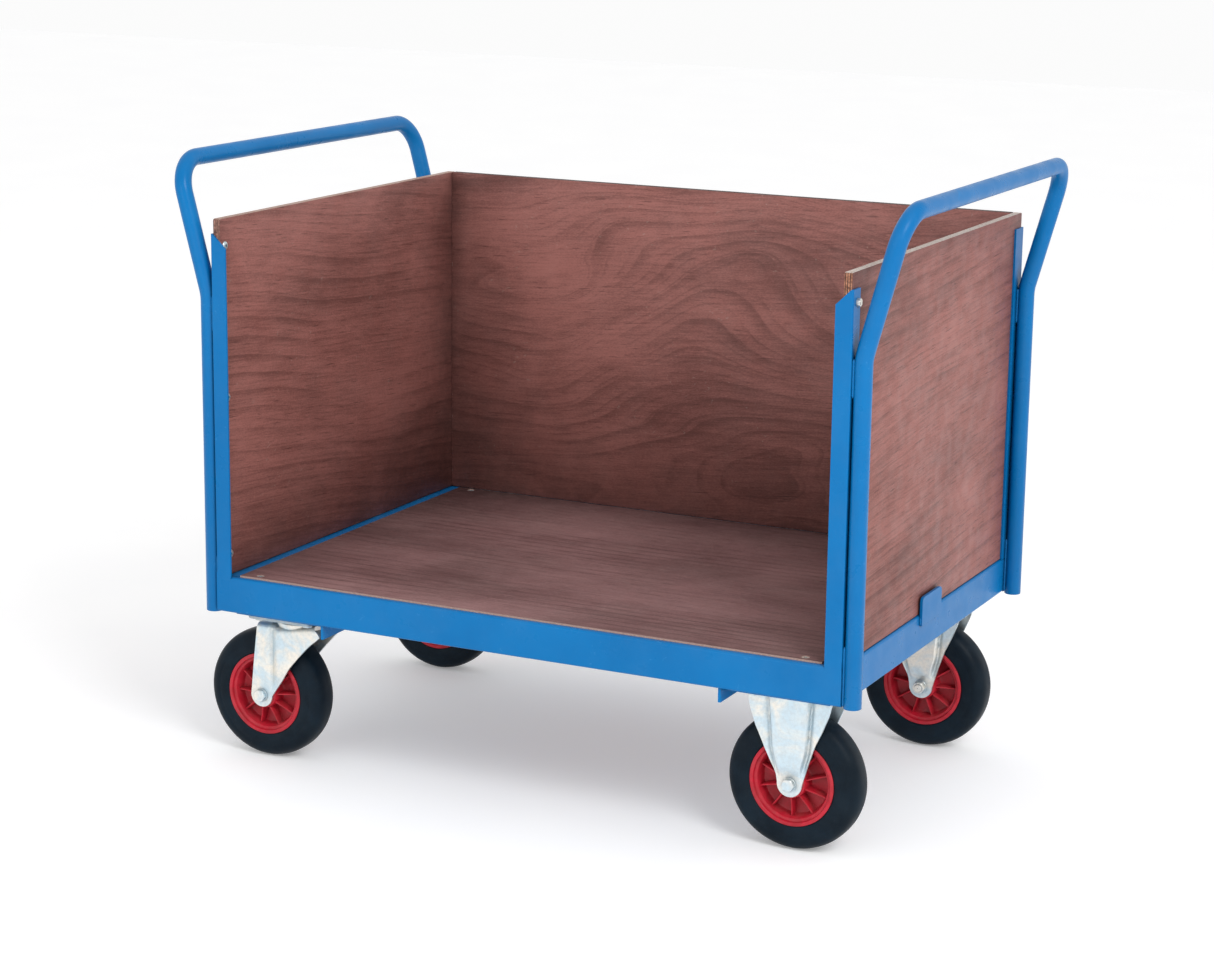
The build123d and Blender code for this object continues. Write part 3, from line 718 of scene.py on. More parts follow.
@dataclass(frozen=True)
class PaintFinish(Finish):
    """Stoved enamel on steel: slight orange peel, rub marks, dust and chipped edges."""

    specular: float = 0.15
    rough: tuple[float, float] = (0.26, 0.38)
    relief: float = 0.05
    colour: Colour = (0.001, 0.160, 0.430, 1)
    deep: Colour = (0.001, 0.140, 0.385, 1)
    bare: Colour = (0.10, 0.12, 0.14, 1)

    def wire(self, on: Surface) -> None:
        """Lay tone patches, scuffs, dust, painted shade in crevices and chips over each other.

        Args:
            on: The surface to wire.
        """
        patches = on.ramp(on.noise(on.place, 5.0, 4.0, 0.6), 0.35, 0.68)
        base = on.mix(patches, self.deep, self.colour)
        scuffs = on.mask(EFFECTS.scuffs, Amount=0.28)
        base = on.mix(scuffs, base, (0.07, 0.29, 0.60, 1))
        dust = on.mask(EFFECTS.dust, Scale=16.0, Amount=0.05)
        base = on.mix(dust, base, (0.30, 0.36, 0.42, 1))
        # Painted shade: crevices and gaps darkened towards navy, where shade falls.
        painted_shade = on.mask(EFFECTS.painted_shade, Reach=0.012, Amount=0.75)
        base = on.mix(painted_shade, base, (0.001, 0.018, 0.055, 1))
        chips = on.mask(EFFECTS.edges, Reach=0.0011, Scale=70.0, Bite=0.34)
        on.set("Base Color", on.mix(chips, base, self.bare))
        rough = on.ramp(on.noise(on.place, 28.0, 3.0), 0.3, 0.7, *self.rough)
        rough = on.plus(rough, on.times(on.plus(scuffs, dust), 0.5))
        on.set("Roughness", rough)
        peel = on.noise(on.place, 420.0, 2.0, 0.5)
        height = on.minus(on.times(peel, 0.5), on.times(chips, 0.8))
        on.bump(height, self.relief)


@dataclass(frozen=True)
class PlywoodFinish(Finish):
    """Stained plywood: figured veneer on its faces and striped layers on its edges."""

    specular: float = 0.28
    rough: tuple[float, float] = (0.42, 0.60)
    relief: float = 0.25
    grain: Axis = Axis.X
    through: Axis = Axis.Z
    start: float = 0.0
    slant: float = 0.0
    lines: float = 34.0
    swirl: float = 0.62
    seed: float = 0.0
    dark: Colour = (0.120, 0.044, 0.037, 1)
    light: Colour = (0.350, 0.138, 0.118, 1)
    edge_pale: Colour = (0.42, 0.26, 0.19, 1)
    edge_dark: Colour = (0.060, 0.024, 0.018, 1)
    worn: Colour = (0.42, 0.36, 0.31, 1)
    top_edge: Colour = (0.42, 0.26, 0.19, 1)
    layers: int = 7
    thickness: float = 12.0
    wear: float = 0.42
    # Strength of the painted shade in inner corners and along the panels.
    painted_shade: float = 0.76

    def grain_vector(self, on: Surface) -> Socket:
        """Place on the board, with X along the grain.

        Args:
            on: The surface to wire.

        Returns:
            The turned vector, in metres.
        """
        across = ({Axis.X, Axis.Y, Axis.Z} - {self.grain, self.through}).pop()
        parts = on.split(on.place)
        chosen = {0: parts[self.grain.value], 1: parts[across.value], 2: parts[self.through.value]}
        joined = on.add("ShaderNodeCombineXYZ", chosen).outputs[0]
        return on.stretch(joined, (1, 1, 1), (0, 0, self.slant))

    def wire(self, on: Surface) -> None:
        """Put veneer on the faces and layers on the edges.

        Args:
            on: The surface to wire.
        """
        given = dict(Vector=self.grain_vector(on), Lines=self.lines, Swirl=self.swirl, Seed=self.seed,
                     Dark=self.dark, Light=self.light)
        wood = on.group(EFFECTS.wood, **given)
        scuffs = on.mask(EFFECTS.scuffs, Amount=0.22)
        face = on.mix(scuffs, wood.outputs["Colour"], self.worn)

        parts = on.split(on.place)
        depth = on.minus(parts[self.through.value], self.start * MM)
        layer = on.times(depth, self.layers / (self.thickness * MM))
        stripe = on.ramp(on.math("PINGPONG", layer, 1.0), 0.40, 0.60)
        grit = on.noise(on.stretch(on.place, (60, 60, 60)), 4.0, 4.0, 0.7)
        ragged = on.mix(on.ramp(grit, 0.3, 0.75), self.edge_pale, self.edge_dark)
        edge = on.mix(on.times(stripe, 0.85), ragged, self.edge_dark)

        normal = on.split(on.add("ShaderNodeTexCoord").outputs["Normal"])
        facing = on.math("ABSOLUTE", normal[self.through.value])
        on_top = on.times(on.ramp(normal[2], 0.6, 0.9), on.ramp(grit, 0.30, 0.50))
        edge = on.mix(on_top, edge, self.top_edge)
        on_face = on.ramp(facing, 0.55, 0.8)
        # Painted shade: faces darkened towards inner corners, where shade falls.
        painted_shade = on.mask(EFFECTS.painted_shade, Reach=0.32, Amount=self.painted_shade)
        face = on.mix(painted_shade, face, (0.030, 0.011, 0.010, 1))
        colour = on.mix(on_face, edge, face)
        rub = on.mask(EFFECTS.edges, Reach=0.004, Scale=45.0, Bite=self.wear)
        colour = on.mix(on.times(rub, on_face), colour, self.worn)
        dust = on.mask(EFFECTS.dust, Scale=9.0, Amount=0.10)
        on.set("Base Color", on.mix(dust, colour, (0.36, 0.27, 0.25, 1)))
        rough = on.ramp(on.noise(on.place, 30.0, 3.0), 0.3, 0.7, *self.rough)
        on.set("Roughness", on.plus(rough, on.times(scuffs, 0.2)))
        on.bump(on.mix(on_face, grit, wood.outputs["Height"]), self.relief)


@dataclass(frozen=True)
class ZincFinish(Finish):
    """Bright zinc plating with the faint cream and blue bloom of its passivation."""

    rough: tuple[float, float] = (0.34, 0.50)
    relief: float = 0.06
    cream: Colour = (0.88, 0.83, 0.74, 1)
    blue: Colour = (0.60, 0.73, 0.80, 1)
    grey: Colour = (0.55, 0.60, 0.62, 1)

    def wire(self, on: Surface) -> None:
        """Lay bloom patches, spangle, painted shade in creases, handling marks and dust over each other.

        Args:
            on: The surface to wire.
        """
        bloom = on.ramp(on.noise(on.place, 22.0, 3.0, 0.6, 0.8), 0.36, 0.66)
        spangle = on.ramp(on.noise(on.place, 240.0, 4.0, 0.7), 0.36, 0.66)
        base = on.mix(bloom, self.blue, self.cream)
        base = on.mix(on.times(spangle, 0.35), base, self.grey)
        # Painted shade: creases and corners darkened to blue-grey, where shade falls.
        painted_shade = on.mask(EFFECTS.painted_shade, Reach=0.014, Amount=0.9, Open=1.0)
        base = on.mix(painted_shade, base, (0.10, 0.17, 0.22, 1))
        marks = on.mask(EFFECTS.scuffs, Amount=0.4)
        base = on.mix(marks, base, self.grey)
        dust = on.mask(EFFECTS.dust, Scale=30.0, Amount=0.20)
        on.set("Base Color", on.mix(dust, base, (0.42, 0.41, 0.38, 1)))
        on.set("Metallic", 0.82)
        rough = on.ramp(spangle, 0.0, 1.0, *self.rough)
        on.set("Roughness", on.plus(rough, on.times(marks, 0.2)))
        on.bump(spangle, self.relief)


@dataclass(frozen=True)
class BearingFinish(Finish):
    """Ground bearing steel with a film of grease."""

    rough: tuple[float, float] = (0.25, 0.42)
    relief: float = 0.02
    colour: Colour = (0.42, 0.42, 0.43, 1)
    grease: Colour = (0.10, 0.07, 0.03, 1)

    def wire(self, on: Surface) -> None:
        """Lay a broken film of grease over turning marks.

        Args:
            on: The surface to wire.
        """
        film = on.ramp(on.noise(on.place, 60.0, 4.0, 0.6), 0.42, 0.66)
        on.set("Base Color", on.mix(film, self.colour, self.grease))
        on.set("Metallic", on.ramp(film, 0.0, 1.0, 1.0, 0.3))
        on.set("Roughness", on.ramp(film, 0.0, 1.0, *self.rough))
        on.bump(on.noise(on.stretch(on.place, (200, 900, 200)), 1.0), self.relief)


@dataclass(frozen=True)
class PlasticFinish(Finish):
    """Moulded red polypropylene, glossy on its rim, dusty, and darkened in its pockets with painted shade."""

    specular: float = 0.32
    rough: tuple[float, float] = (0.32, 0.48)
    relief: float = 0.05
    colour: Colour = (0.50, 0.012, 0.030, 1)
    deep: Colour = (0.36, 0.007, 0.018, 1)

    def wire(self, on: Surface) -> None:
        """Lay flow tone, painted shade in pockets, rub marks and dust over each other.

        Args:
            on: The surface to wire.
        """
        flow = on.ramp(on.noise(on.place, 34.0, 4.0, 0.6, 1.2), 0.34, 0.68)
        base = on.mix(flow, self.deep, self.colour)
        # Painted shade: the wheel's pockets and recesses darkened, where shade falls.
        painted_shade = on.mask(EFFECTS.painted_shade, Reach=0.020, Amount=0.6)
        base = on.mix(painted_shade, base, (0.10, 0.002, 0.006, 1))
        rub = on.mask(EFFECTS.edges, Reach=0.001, Scale=120.0, Bite=0.5)
        base = on.mix(on.times(rub, 0.5), base, (0.70, 0.12, 0.12, 1))
        dust = on.mask(EFFECTS.dust, Scale=40.0, Amount=0.18)
        on.set("Base Color", on.mix(dust, base, (0.34, 0.16, 0.14, 1)))
        on.set("Roughness", on.ramp(on.noise(on.place, 90.0), 0.3, 0.7, *self.rough))
        on.bump(on.noise(on.place, 700.0, 2.0), self.relief)


@dataclass(frozen=True)
class RubberFinish(Finish):
    """Black solid rubber with a dulled, slightly dusty skin."""

    specular: float = 0.11
    rough: tuple[float, float] = (0.42, 0.58)
    relief: float = 0.10
    colour: Colour = (0.002, 0.007, 0.013, 1)
    bloom: Colour = (0.007, 0.017, 0.028, 1)

    def wire(self, on: Surface) -> None:
        """Lay skin bloom, grit and dust over each other.

        Args:
            on: The surface to wire.
        """
        bloom = on.ramp(on.noise(on.place, 18.0, 4.0, 0.65), 0.34, 0.7)
        base = on.mix(on.times(bloom, 0.7), self.colour, self.bloom)
        grit = on.noise(on.place, 520.0, 3.0, 0.7)
        base = on.mix(on.times(on.ramp(grit, 0.62, 0.75), 0.25), base, (0.05, 0.06, 0.07, 1))
        dust = on.mask(EFFECTS.dust, Scale=26.0, Amount=0.10)
        on.set("Base Color", on.mix(dust, base, (0.07, 0.08, 0.085, 1)))
        on.set("Roughness", on.ramp(bloom, 0.0, 1.0, *self.rough))
        on.bump(grit, self.relief)


@dataclass(frozen=True)
class FloorFinish(Finish):
    """Plain pale studio floor, lit a little from below to soften the shadow."""

    specular: float = 0.1
    rough: tuple[float, float] = (0.85, 0.85)
    glow: float = 0.20

    def wire(self, on: Surface) -> None:
        """Give the floor a very faint mottle.

        Args:
            on: The surface to wire.
        """
        mottle = on.ramp(on.noise(on.place, 3.0, 3.0), 0.3, 0.7)
        on.set("Base Color", on.mix(mottle, (0.90, 0.90, 0.905, 1), (0.92, 0.92, 0.92, 1)))
        on.set("Roughness", self.rough[0])
        on.set("Emission Color", (1.0, 1.0, 1.0, 1))
        on.set("Emission Strength", self.glow)


BLUE_PAINT = PaintFinish("blue_enamel")
ZINC = ZincFinish("zinc_plating")
# A darker copy of the zinc: painted shade for the swivel plates, which sit in shade under the rail.
SHADED_ZINC = ZincFinish("shade_darkened_zinc", cream=(0.44, 0.48, 0.50, 1), blue=(0.30, 0.40, 0.47, 1),
                         grey=(0.26, 0.31, 0.35, 1))
FRAME_BODY = "truck_frame"
BEARING = BearingFinish("bearing_steel")
RED_PLASTIC = PlasticFinish("red_moulding")
RUBBER = RubberFinish("tyre_rubber")


# ------------------------------------------------------------------ sub-assemblies
@dataclass
class SubAssembly:
    """Something that builds pieces and dresses them."""

    pieces: list[Piece] = field(default_factory=list, init=False)

    def keep(self, piece: Piece, body: str, slot: str, replaces: Sequence[str] = ()) -> Piece:
        """Put a finished piece on its body.

        Args:
            piece: The new piece.
            body: Body that it moves with.
            slot: Name of a material slot of the record; not used.
            replaces: CAD nodes that it stands for.

        Returns:
            The same piece.
        """
        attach(piece, body)
        if replaces:
            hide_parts(*replaces)
        self.pieces.append(piece)
        LOG.info("%s: %d faces on %s", piece.name, len(piece.data.polygons), body)
        return piece

    def build(self) -> None:
        """Build and dress the sub-assembly."""
        raise NotImplementedError


def paint_node(node: str, finish: Finish) -> None:
    """Give a CAD node its finish.

    Args:
        node: The node's name.
        finish: Its finish.
    """
    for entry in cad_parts[node].material_slots:
        entry.link = "OBJECT"
        entry.material = finish.material()


@dataclass
class KeptNodes(SubAssembly):
    """CAD nodes whose shape is right, each with its finish."""

    painted: tuple[str, ...] = ("front_rail", "rear_rail", "end_rail", "cross_member", "castor_pads", "post_",
                                "panel_tab")
    plated: tuple[str, ...] = ("castor_bolts", "castor_nuts", "panel_nuts", "back_screws", "king_pin")
    # The swivel plates take the darker copy of the zinc, painted shade under the rail.
    shade_painted: tuple[str, ...] = ("swivel_plate",)
    ground: tuple[str, ...] = ("roller_bearing", "swivel_balls", "axle_sleeve")

    def build(self) -> None:
        """Dress each kept node by its family."""
        for names, finish in ((self.painted, BLUE_PAINT), (self.plated, ZINC), (self.shade_painted, SHADED_ZINC),
                              (self.ground, BEARING)):
            for node in sorted(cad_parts):
                if node.startswith(names):
                    paint_node(node, finish)
                    LOG.info("%s keeps its shape", node)


@dataclass
class Deck(SubAssembly):
    """Plywood deck let into the frame, and the heads of its screws."""

    head_radius: float = 5.8
    crown: float = 0.3
    socket: float = 4.0
    inset: float = 6.0

    def build(self) -> None:
        """Dress the deck and put heads in its countersinks."""
        pale = (0.62, 0.44, 0.38, 1)
        # The deck takes the strongest painted shade, darkest in its corners and along the panels.
        finish = PlywoodFinish("deck_veneer", grain=Axis.X, through=Axis.Z, start=node_box("deck_board")[0].z,
                               lines=48.0, swirl=0.5, seed=3.1, dark=(0.115, 0.058, 0.057, 1),
                               light=(0.345, 0.192, 0.190, 1), painted_shade=1.0, edge_pale=pale,
                               edge_dark=(0.42, 0.27, 0.22, 1), top_edge=pale)
        paint_node("deck_board", finish)
        low, high = node_box("deck_screws")
        draft = MeshDraft()
        for x in (low.x + self.inset, high.x - self.inset):
            for y in (low.y + self.inset, high.y - self.inset):
                place = turned_to(Vector((x, y, high.z - self.crown)), Vector((0, 0, 1)))
                socket_screw_head(draft, place, self.head_radius, self.crown, self.socket)
        self.keep(draft.build("deck_screw_heads", ZINC), FRAME_BODY, "zinc_plate", ["deck_screws"])


@dataclass
class PlyPanel(SubAssembly):
    """One plywood panel with rounded corners and slightly uneven layers at its edges."""

    node: str = "back_panel"
    through: Axis = Axis.Y
    finish: Finish = BLUE_PAINT
    layers: int = 7
    corner: float = 3.0
    arris: float = 0.7
    groove: float = 0.22
    chip: float = 0.22

    def rim(self, thickness: float) -> list[tuple[float, float]]:
        """Profile across the edge.

        Args:
            thickness: The board's thickness.

        Returns:
            (through, inset) points from one face to the other.
        """
        start = [(0.0, self.arris), (self.arris * 0.3, self.arris * 0.3), (self.arris, 0.0)]
        points = list(start)
        for i in range(1, self.layers):
            joint = thickness * i / self.layers
            points += [(joint - 0.16, 0.0), (joint, self.groove), (joint + 0.16, 0.0)]
        return points + [(thickness - depth, inset) for depth, inset in reversed(start)]

    def build(self) -> None:
        """Stack the edge profile round the panel's outline and close both faces."""
        low, high = node_box(self.node)
        size = high - low
        along, through = (Axis.X if self.through is Axis.Y else Axis.Y).value, self.through.value
        middle = (low + high) / 2
        draft = MeshDraft()
        rings = []
        for level, (depth, inset) in enumerate(self.rim(size[through])):
            points = []
            for flat in rectangle_outline(size[along] - 2 * inset, size.z - 2 * inset, self.corner):
                wander = noise.noise(Vector((flat.x * 0.021, flat.y * 0.021, level * 0.6)))
                chip = self.chip * max(0.0, wander)
                place = middle.copy()
                place[along] += flat.x * (1 - 2 * chip / size[along])
                place.z += flat.y * (1 - 2 * chip / size.z)
                place[through] = low[through] + depth
                points.append(place)
            rings.append(draft.ring(points))
        draft.skin(rings)
        board = draft.build(f"{self.node}_board", self.finish, sharp=60)
        self.keep(board, FRAME_BODY, "panel_plywood", [self.node])


@dataclass
class PanelScrews(SubAssembly):
    """Dome heads on the inner faces of the end panels, one above another."""

    rises: tuple[float, ...] = (33.0, 270.0, 495.0)
    radius: float = 6.5
    crown: float = 3.3
    socket: float = 4.0
    tip: Curve = ((2.9, 0), (2.9, 1.6), (2.4, 2.0), (0.1, 2.0), (0.1, 0))

    def build(self) -> None:
        """Build the six heads as one piece and the two screw tips."""
        middle_y = node_middle("panel_screws").y
        rail_top = node_box("front_rail")[1].z
        nuts = node_box("panel_nuts")
        draft = MeshDraft()
        for side, panel in ((-1, "end_panel_left"), (1, "end_panel_right")):
            inner = node_box(panel)[0 if side > 0 else 1].x
            outer = nuts[1 if side > 0 else 0].x - side
            for rise in self.rises:
                place = turned_to(Vector((inner, middle_y, rail_top + rise)), Vector((-side, 0, 0)))
                socket_screw_head(draft, place, self.radius, self.crown, self.socket)
            place = turned_to(Vector((outer, middle_y, rail_top + self.rises[-1])), Vector((side, 0, 0)))
            lathe(draft, self.tip, place, 24)
        self.keep(draft.build("panel_screw_heads", ZINC), FRAME_BODY, "zinc_plate", ["panel_screws"])


@dataclass
class Handle(SubAssembly):
    """Bent tube handle of one end: two legs, a kink outwards and the grip bar."""

    side: str = "left"
    tube: float = 12.5
    wall: float = 2.0
    kink_height: float = 716.0
    kink_bend: float = 70.0
    top_bend: float = 50.0
    bore_seen: float = 40.0
    rim: float = 0.5

    def build(self) -> None:
        """Sweep the tube and hollow its cut ends."""
        node = f"handle_{self.side}"
        low, high = node_box(node)
        sign = 1 if self.side == "right" else -1
        inner_x = (low.x if sign > 0 else high.x) + sign * self.tube
        outer_x = (high.x if sign > 0 else low.x) - sign * self.tube
        y = high.y - self.tube
        bar_z = high.z - self.tube
        corners = [
            Vector((inner_x, -y, low.z)), Vector((inner_x, -y, self.kink_height)),
            Vector((outer_x, -y, bar_z)), Vector((outer_x, y, bar_z)),
            Vector((inner_x, y, self.kink_height)), Vector((inner_x, y, low.z)),
        ]
        path = rounded_path(corners, [self.kink_bend, self.top_bend, self.top_bend, self.kink_bend])
        up = Vector((0, 0, 1))
        bore = self.tube - self.wall
        foot_radii = [bore, bore, bore + self.rim, self.tube - self.rim, self.tube]
        rises = (self.bore_seen, self.rim, 0, 0, self.rim)
        feet = [[end + up * rise for rise in rises] for end in (path[0], path[-1])]
        full = feet[0] + path[1:-1] + feet[1][::-1]
        radii = foot_radii + [self.tube] * (len(path) - 2) + foot_radii[::-1]
        foot = len(foot_radii)
        between = [(after - before).normalized() for before, after in zip(full, full[2:])][foot - 1:1 - foot]
        draft = MeshDraft()
        sweep(draft, full, radii, 40, [up] * foot + between + [-up] * foot, Vector((0, 1, 0)))
        tube = draft.build(f"handle_tube_{self.side}", BLUE_PAINT, sharp=50)
        self.keep(tube, FRAME_BODY, "blue_paint", [node])


@dataclass
class Welds(SubAssembly):
    """Weld beads of the frame, painted over with it."""

    tube_bead: float = 2.3
    tube_offset: float = 7.4
    tube_proud: float = 1.3
    tube_radius: float = 12.5
    fillet: float = 2.0
    pad_bead: float = 1.5
    upper_seam: tuple[float, float] = (664.0, 716.0)
    web_bead: tuple[float, float] = (300.0, 342.0)
    pad_bead_run: tuple[float, float] = (330.0, 490.0)
    filler: Curve = ((-9.0, 0.0), (-5.0, -0.12), (-1.0, -0.18), (3.0, -0.12), (7.0, 0.0))

    def build(self) -> None:
        """Lay the beads of tubes, tabs, cross members and castor pads."""
        draft = MeshDraft()
        rail_low, rail_high = node_box("front_rail")
        seams = (self.upper_seam, (rail_low.z + 1, rail_high.z + 30))
        tube_y = node_box("handle_right")[1].y - self.tube_radius
        for side, name in ((-1, "left"), (1, "right")):
            x = side * rail_high.x + side * self.tube_proud
            for end in (-1, 1):
                for low, high in seams:
                    for step in (-self.tube_offset, self.tube_offset):
                        y = end * tube_y + step
                        weld_bead(draft, Vector((x, y, low)), Vector((x, y, high)), self.tube_bead)
            self.tab_beads(draft, side, *node_box(f"panel_tab_{name}"))
            low, high = node_box(f"cross_member_{name}")
            web = (high.x if side > 0 else low.x) - side * 4.2
            for end in (-1, 1):
                start, stop = (Vector((web, end * y, rail_low.z - 0.6)) for y in self.web_bead)
                weld_bead(draft, start, stop, self.fillet)
        self.pad_beads(draft)
        self.post_fillers(draft)
        self.keep(draft.build("frame_welds", BLUE_PAINT, sharp=70), FRAME_BODY, "blue_paint")

    def tab_beads(self, draft: MeshDraft, side: int, low: Vector, high: Vector) -> None:
        """Beads down both sides of a tab and along its lower edge.

        Args:
            draft: Where the faces go.
            side: +1 at the right-hand end of the truck, else -1.
            low: Lowest corner of the tab.
            high: Its highest corner.
        """
        x = (low.x if side > 0 else high.x) + side * 1.0
        top = node_box("front_rail")[1].z - 3
        for y in (low.y, high.y):
            weld_bead(draft, Vector((x, y, low.z + 1)), Vector((x, y, top)), self.fillet)
        weld_bead(draft, Vector((x, low.y + 2, low.z)), Vector((x, high.y - 2, low.z)), self.fillet)

    def post_fillers(self, draft: MeshDraft) -> None:
        """Weld dressed flush where a front post stands on the rail's rounded fold.

        Args:
            draft: Where the faces go.
        """
        rail_top = node_box("front_rail")[1].z
        for node in ("post_front_left", "post_front_right"):
            low, high = node_box(node)
            back, left, right = low.y + 2.5, low.x + 0.4, high.x - 0.4
            rings = []
            for rise, proud in self.filler:
                outline = ((left, back), (left, low.y + proud), (right, low.y + proud), (right, back))
                rings.append(draft.ring(Vector((x, y, rail_top + rise)) for x, y in outline))
            draft.skin(rings)

    def pad_beads(self, draft: MeshDraft) -> None:
        """Beads along the outer edges of the castor pads.

        Args:
            draft: Where the faces go.
        """
        high = node_box("castor_pads")[1]
        for side in (-1, 1):
            for end in (-1, 1):
                y, z = end * (high.y + 0.4), high.z - 0.8
                start, stop = (Vector((side * x, y, z)) for x in self.pad_bead_run)
                weld_bead(draft, start, stop, self.pad_bead)


@dataclass
class SheetRow:
    """One row of a pressed leg: its two ends, level, and how the sheet leans there."""

    left: float
    right: float
    level: float
    pull: float = 0.0
    turn: float = 0.0


@dataclass
class Castor(SubAssembly):
    """What fixed and swivel castors share: wheel, tyre, axle ends and pressed legs."""

    corner: str = "front_right"
    columns: int = 64
    steel: float = 3.6
    leg_face: float = 31.5
    foot_radius: float = 18.5
    steps: int = 26
    bend: float = 6.0
    rounding: float = 0.8
    ribs: int = 10
    rib_phase: float = 0.0
    axle_hexagon: float = 17.0
    axle_washer: float = 10.2
    tyre: Curve = mirrored((
        (63.4, 22.6), (64.6, 24.0), (67.0, 24.7), (72.0, 25.0), (79.0, 25.0), (80.2, 24.6), (81.4, 25.0),
        (86.0, 24.6), (90.5, 23.2), (94.2, 20.6), (96.8, 17.2), (98.6, 13.2), (99.6, 8.8), (99.95, 4.2),
        (100.0, 0.6),
    ))
    moulding: Curve = mirrored((
        (15.0, 27.0), (19.6, 27.0), (20.8, 26.2), (21.4, 24.8), (22.0, 8.0), (23.4, 5.0), (26.0, 3.6),
        (44.0, 3.2), (48.6, 4.2), (50.6, 7.0), (52.4, 18.4), (53.4, 19.6), (56.2, 19.9), (57.0, 20.4),
        (57.5, 23.8), (58.3, 24.6), (62.2, 24.7), (63.2, 24.0), (63.5, 21.5), (66.0, 20.5), (66.0, 9.0), (71.0, 9.0),
    ))
    rib_crest: Curve = ((20.5, 21.5), (27.0, 19.6), (36.0, 16.6), (45.0, 14.8), (52.6, 14.2))

    def hub(self) -> Vector:
        """Middle of the wheel."""
        return node_middle(f"tyre_{self.corner}")

    def outward(self) -> int:
        """+1 where the truck's outer side is towards +Y, else -1."""
        return 1 if self.hub().y > 0 else -1

    def sag(self, x: float, level: float) -> float:
        """How far the sheet hangs below its row; nothing unless a castor says otherwise."""
        return 0.0

    def leg_rows(self, centre: float, edges: tuple[Curve, Curve], top: float,
                 turns: Sequence[float]) -> list[SheetRow]:
        """Rows of a leg, from its rounded foot to the bend at its top.

        Args:
            centre: Where the axle is along the leg.
            edges: Left and right edge as (level, place) points.
            top: Level where the bend ends.
            turns: Turn of the sheet at each row of the bend; a negative one is outwards.

        Returns:
            The rows in rising order.
        """
        axle = self.hub().z
        rows = []
        for angle in (8, 20, 32, 44, 56, 68, 80, 90):
            half = self.foot_radius * math.sin(math.radians(angle))
            level = axle - self.foot_radius * math.cos(math.radians(angle))
            rows.append(SheetRow(centre - half, centre + half, level))
        bend = self.bend
        straight = top - bend - axle - 3
        places = [(axle + 3 + i * straight / self.steps, 0.0, 0.0) for i in range(self.steps + 1)]
        for turn in turns:
            angle = math.radians(abs(turn))
            pull = math.copysign((1 - math.cos(angle)) * bend, turn)
            places.append((top - bend + math.sin(angle) * bend, pull, turn))
        left, right = edges
        return rows + [SheetRow(along_curve(left, level), along_curve(right, level), level, pull, turn)
                       for level, pull, turn in places]

    def face(self, x: float, level: float) -> float:
        """Distance of a leg's outer face from the wheel's middle plane; each castor says how."""
        raise NotImplementedError

    def leg(self, draft: MeshDraft, rows: Sequence[SheetRow], origin: Vector, sign: int) -> None:
        """Build one pressed leg as a closed sheet.

        Args:
            draft: Where the faces go.
            rows: Rows from the leg's foot upwards.
            origin: Where x is 0 and the wheel's middle plane is; its z is not used.
            sign: +1 or -1, the leg's side.
        """
        outer, inner = [], []
        for row in rows:
            turn = math.radians(row.turn)
            lean = Vector((0, math.cos(turn), math.sin(turn))) * self.steel
            front, back = [], []
            for i in range(self.columns):
                x = row.left + (row.right - row.left) * i / (self.columns - 1)
                y = 0.0 if row.turn >= 90 else self.face(x, row.level) - row.pull
                point = Vector((x, y, row.level - self.sag(x, row.level)))
                for store, place in ((front, point), (back, point - lean)):
                    store.append(Vector((origin.x + place.x, origin.y + sign * place.y, place.z)))
            outer.append(draft.ring(front))
            inner.append(draft.ring(back))
        edges = [([r[column] for r in outer], [r[column] for r in inner]) for column in (0, -1)]
        for first, second in [*zip(outer, outer[1:]), *zip(inner, inner[1:]), (outer[0], inner[0]),
                              (outer[-1], inner[-1]), *edges]:
            draft.bridge(first, second, closed=False)

    def axle_ends(self, body: str) -> None:
        """Hexagon head outside and nut inside, on washers.

        Args:
            body: Body that carries the axle.
        """
        hub, face = self.hub(), self.leg_face
        out = self.outward()
        shank = ((6, -2 * face), (6, 0), (0.5, 0), (0.5, -2 * face))
        tip = ((5.9, 0), (5.9, 12.2), (5.1, 13.2), (0.5, 13.2), (0.5, 0))
        for name, way, height, rod in (("axle_bolt", out, 8.0, shank), ("axle_nut", -out, 11.0, tip)):
            place = turned_to(Vector((hub.x, hub.y + way * face, hub.z)), Vector((0, way, 0)))
            draft = MeshDraft()
            hex_head(draft, place, self.axle_hexagon, height, self.axle_washer)
            lathe(draft, rod, place, 32)
            end = draft.build(f"{name}_set_{self.corner}", ZINC, sharp=25)
            self.keep(end, body, "zinc_plate", [f"{name}_{self.corner}"])

    def build_wheel(self) -> None:
        """Build the tyre and the moulded centre."""
        body = f"wheel_{self.corner}"
        place = turned_to(self.hub(), Vector((0, 1, 0)))
        draft = MeshDraft()
        lathe(draft, self.tyre, place, 144)
        tyre = draft.build(f"tyre_moulding_{self.corner}", RUBBER, sharp=50)
        self.keep(tyre, body, "rubber_tyre", [f"tyre_{self.corner}"])
        draft = MeshDraft()
        lathe(draft, self.moulding, place, 120)
        for i in range(self.ribs):
            for way in (-1, 1):
                self.rib(draft, math.radians(self.rib_phase + i * 360 / self.ribs), way)
        centre = draft.build(f"wheel_moulding_{self.corner}", RED_PLASTIC, sharp=38)
        self.keep(centre, body, "red_plastic", [f"wheel_centre_{self.corner}"])

    def rib(self, draft: MeshDraft, angle: float, way: int) -> None:
        """One tapered rib between hub and rim, on one face of the web.

        Args:
            draft: Where the faces go.
            angle: Direction of the rib from the axle, in radians.
            way: +1 or -1, which face.
        """
        hub = self.hub()
        out = Vector((math.cos(angle), 0, math.sin(angle)))
        side = Vector((-math.sin(angle), 0, math.cos(angle)))
        rings = []
        for reach, crest in self.rib_crest:
            half = ((-2.4, 2.5), (-1.35, crest - 0.9), (-0.75, crest))
            section = half + tuple((-offset, level) for offset, level in reversed(half))
            rings.append(draft.ring(hub + out * reach + side * offset + Vector((0, way * level, 0))
                                    for offset, level in section))
        draft.skin(rings)


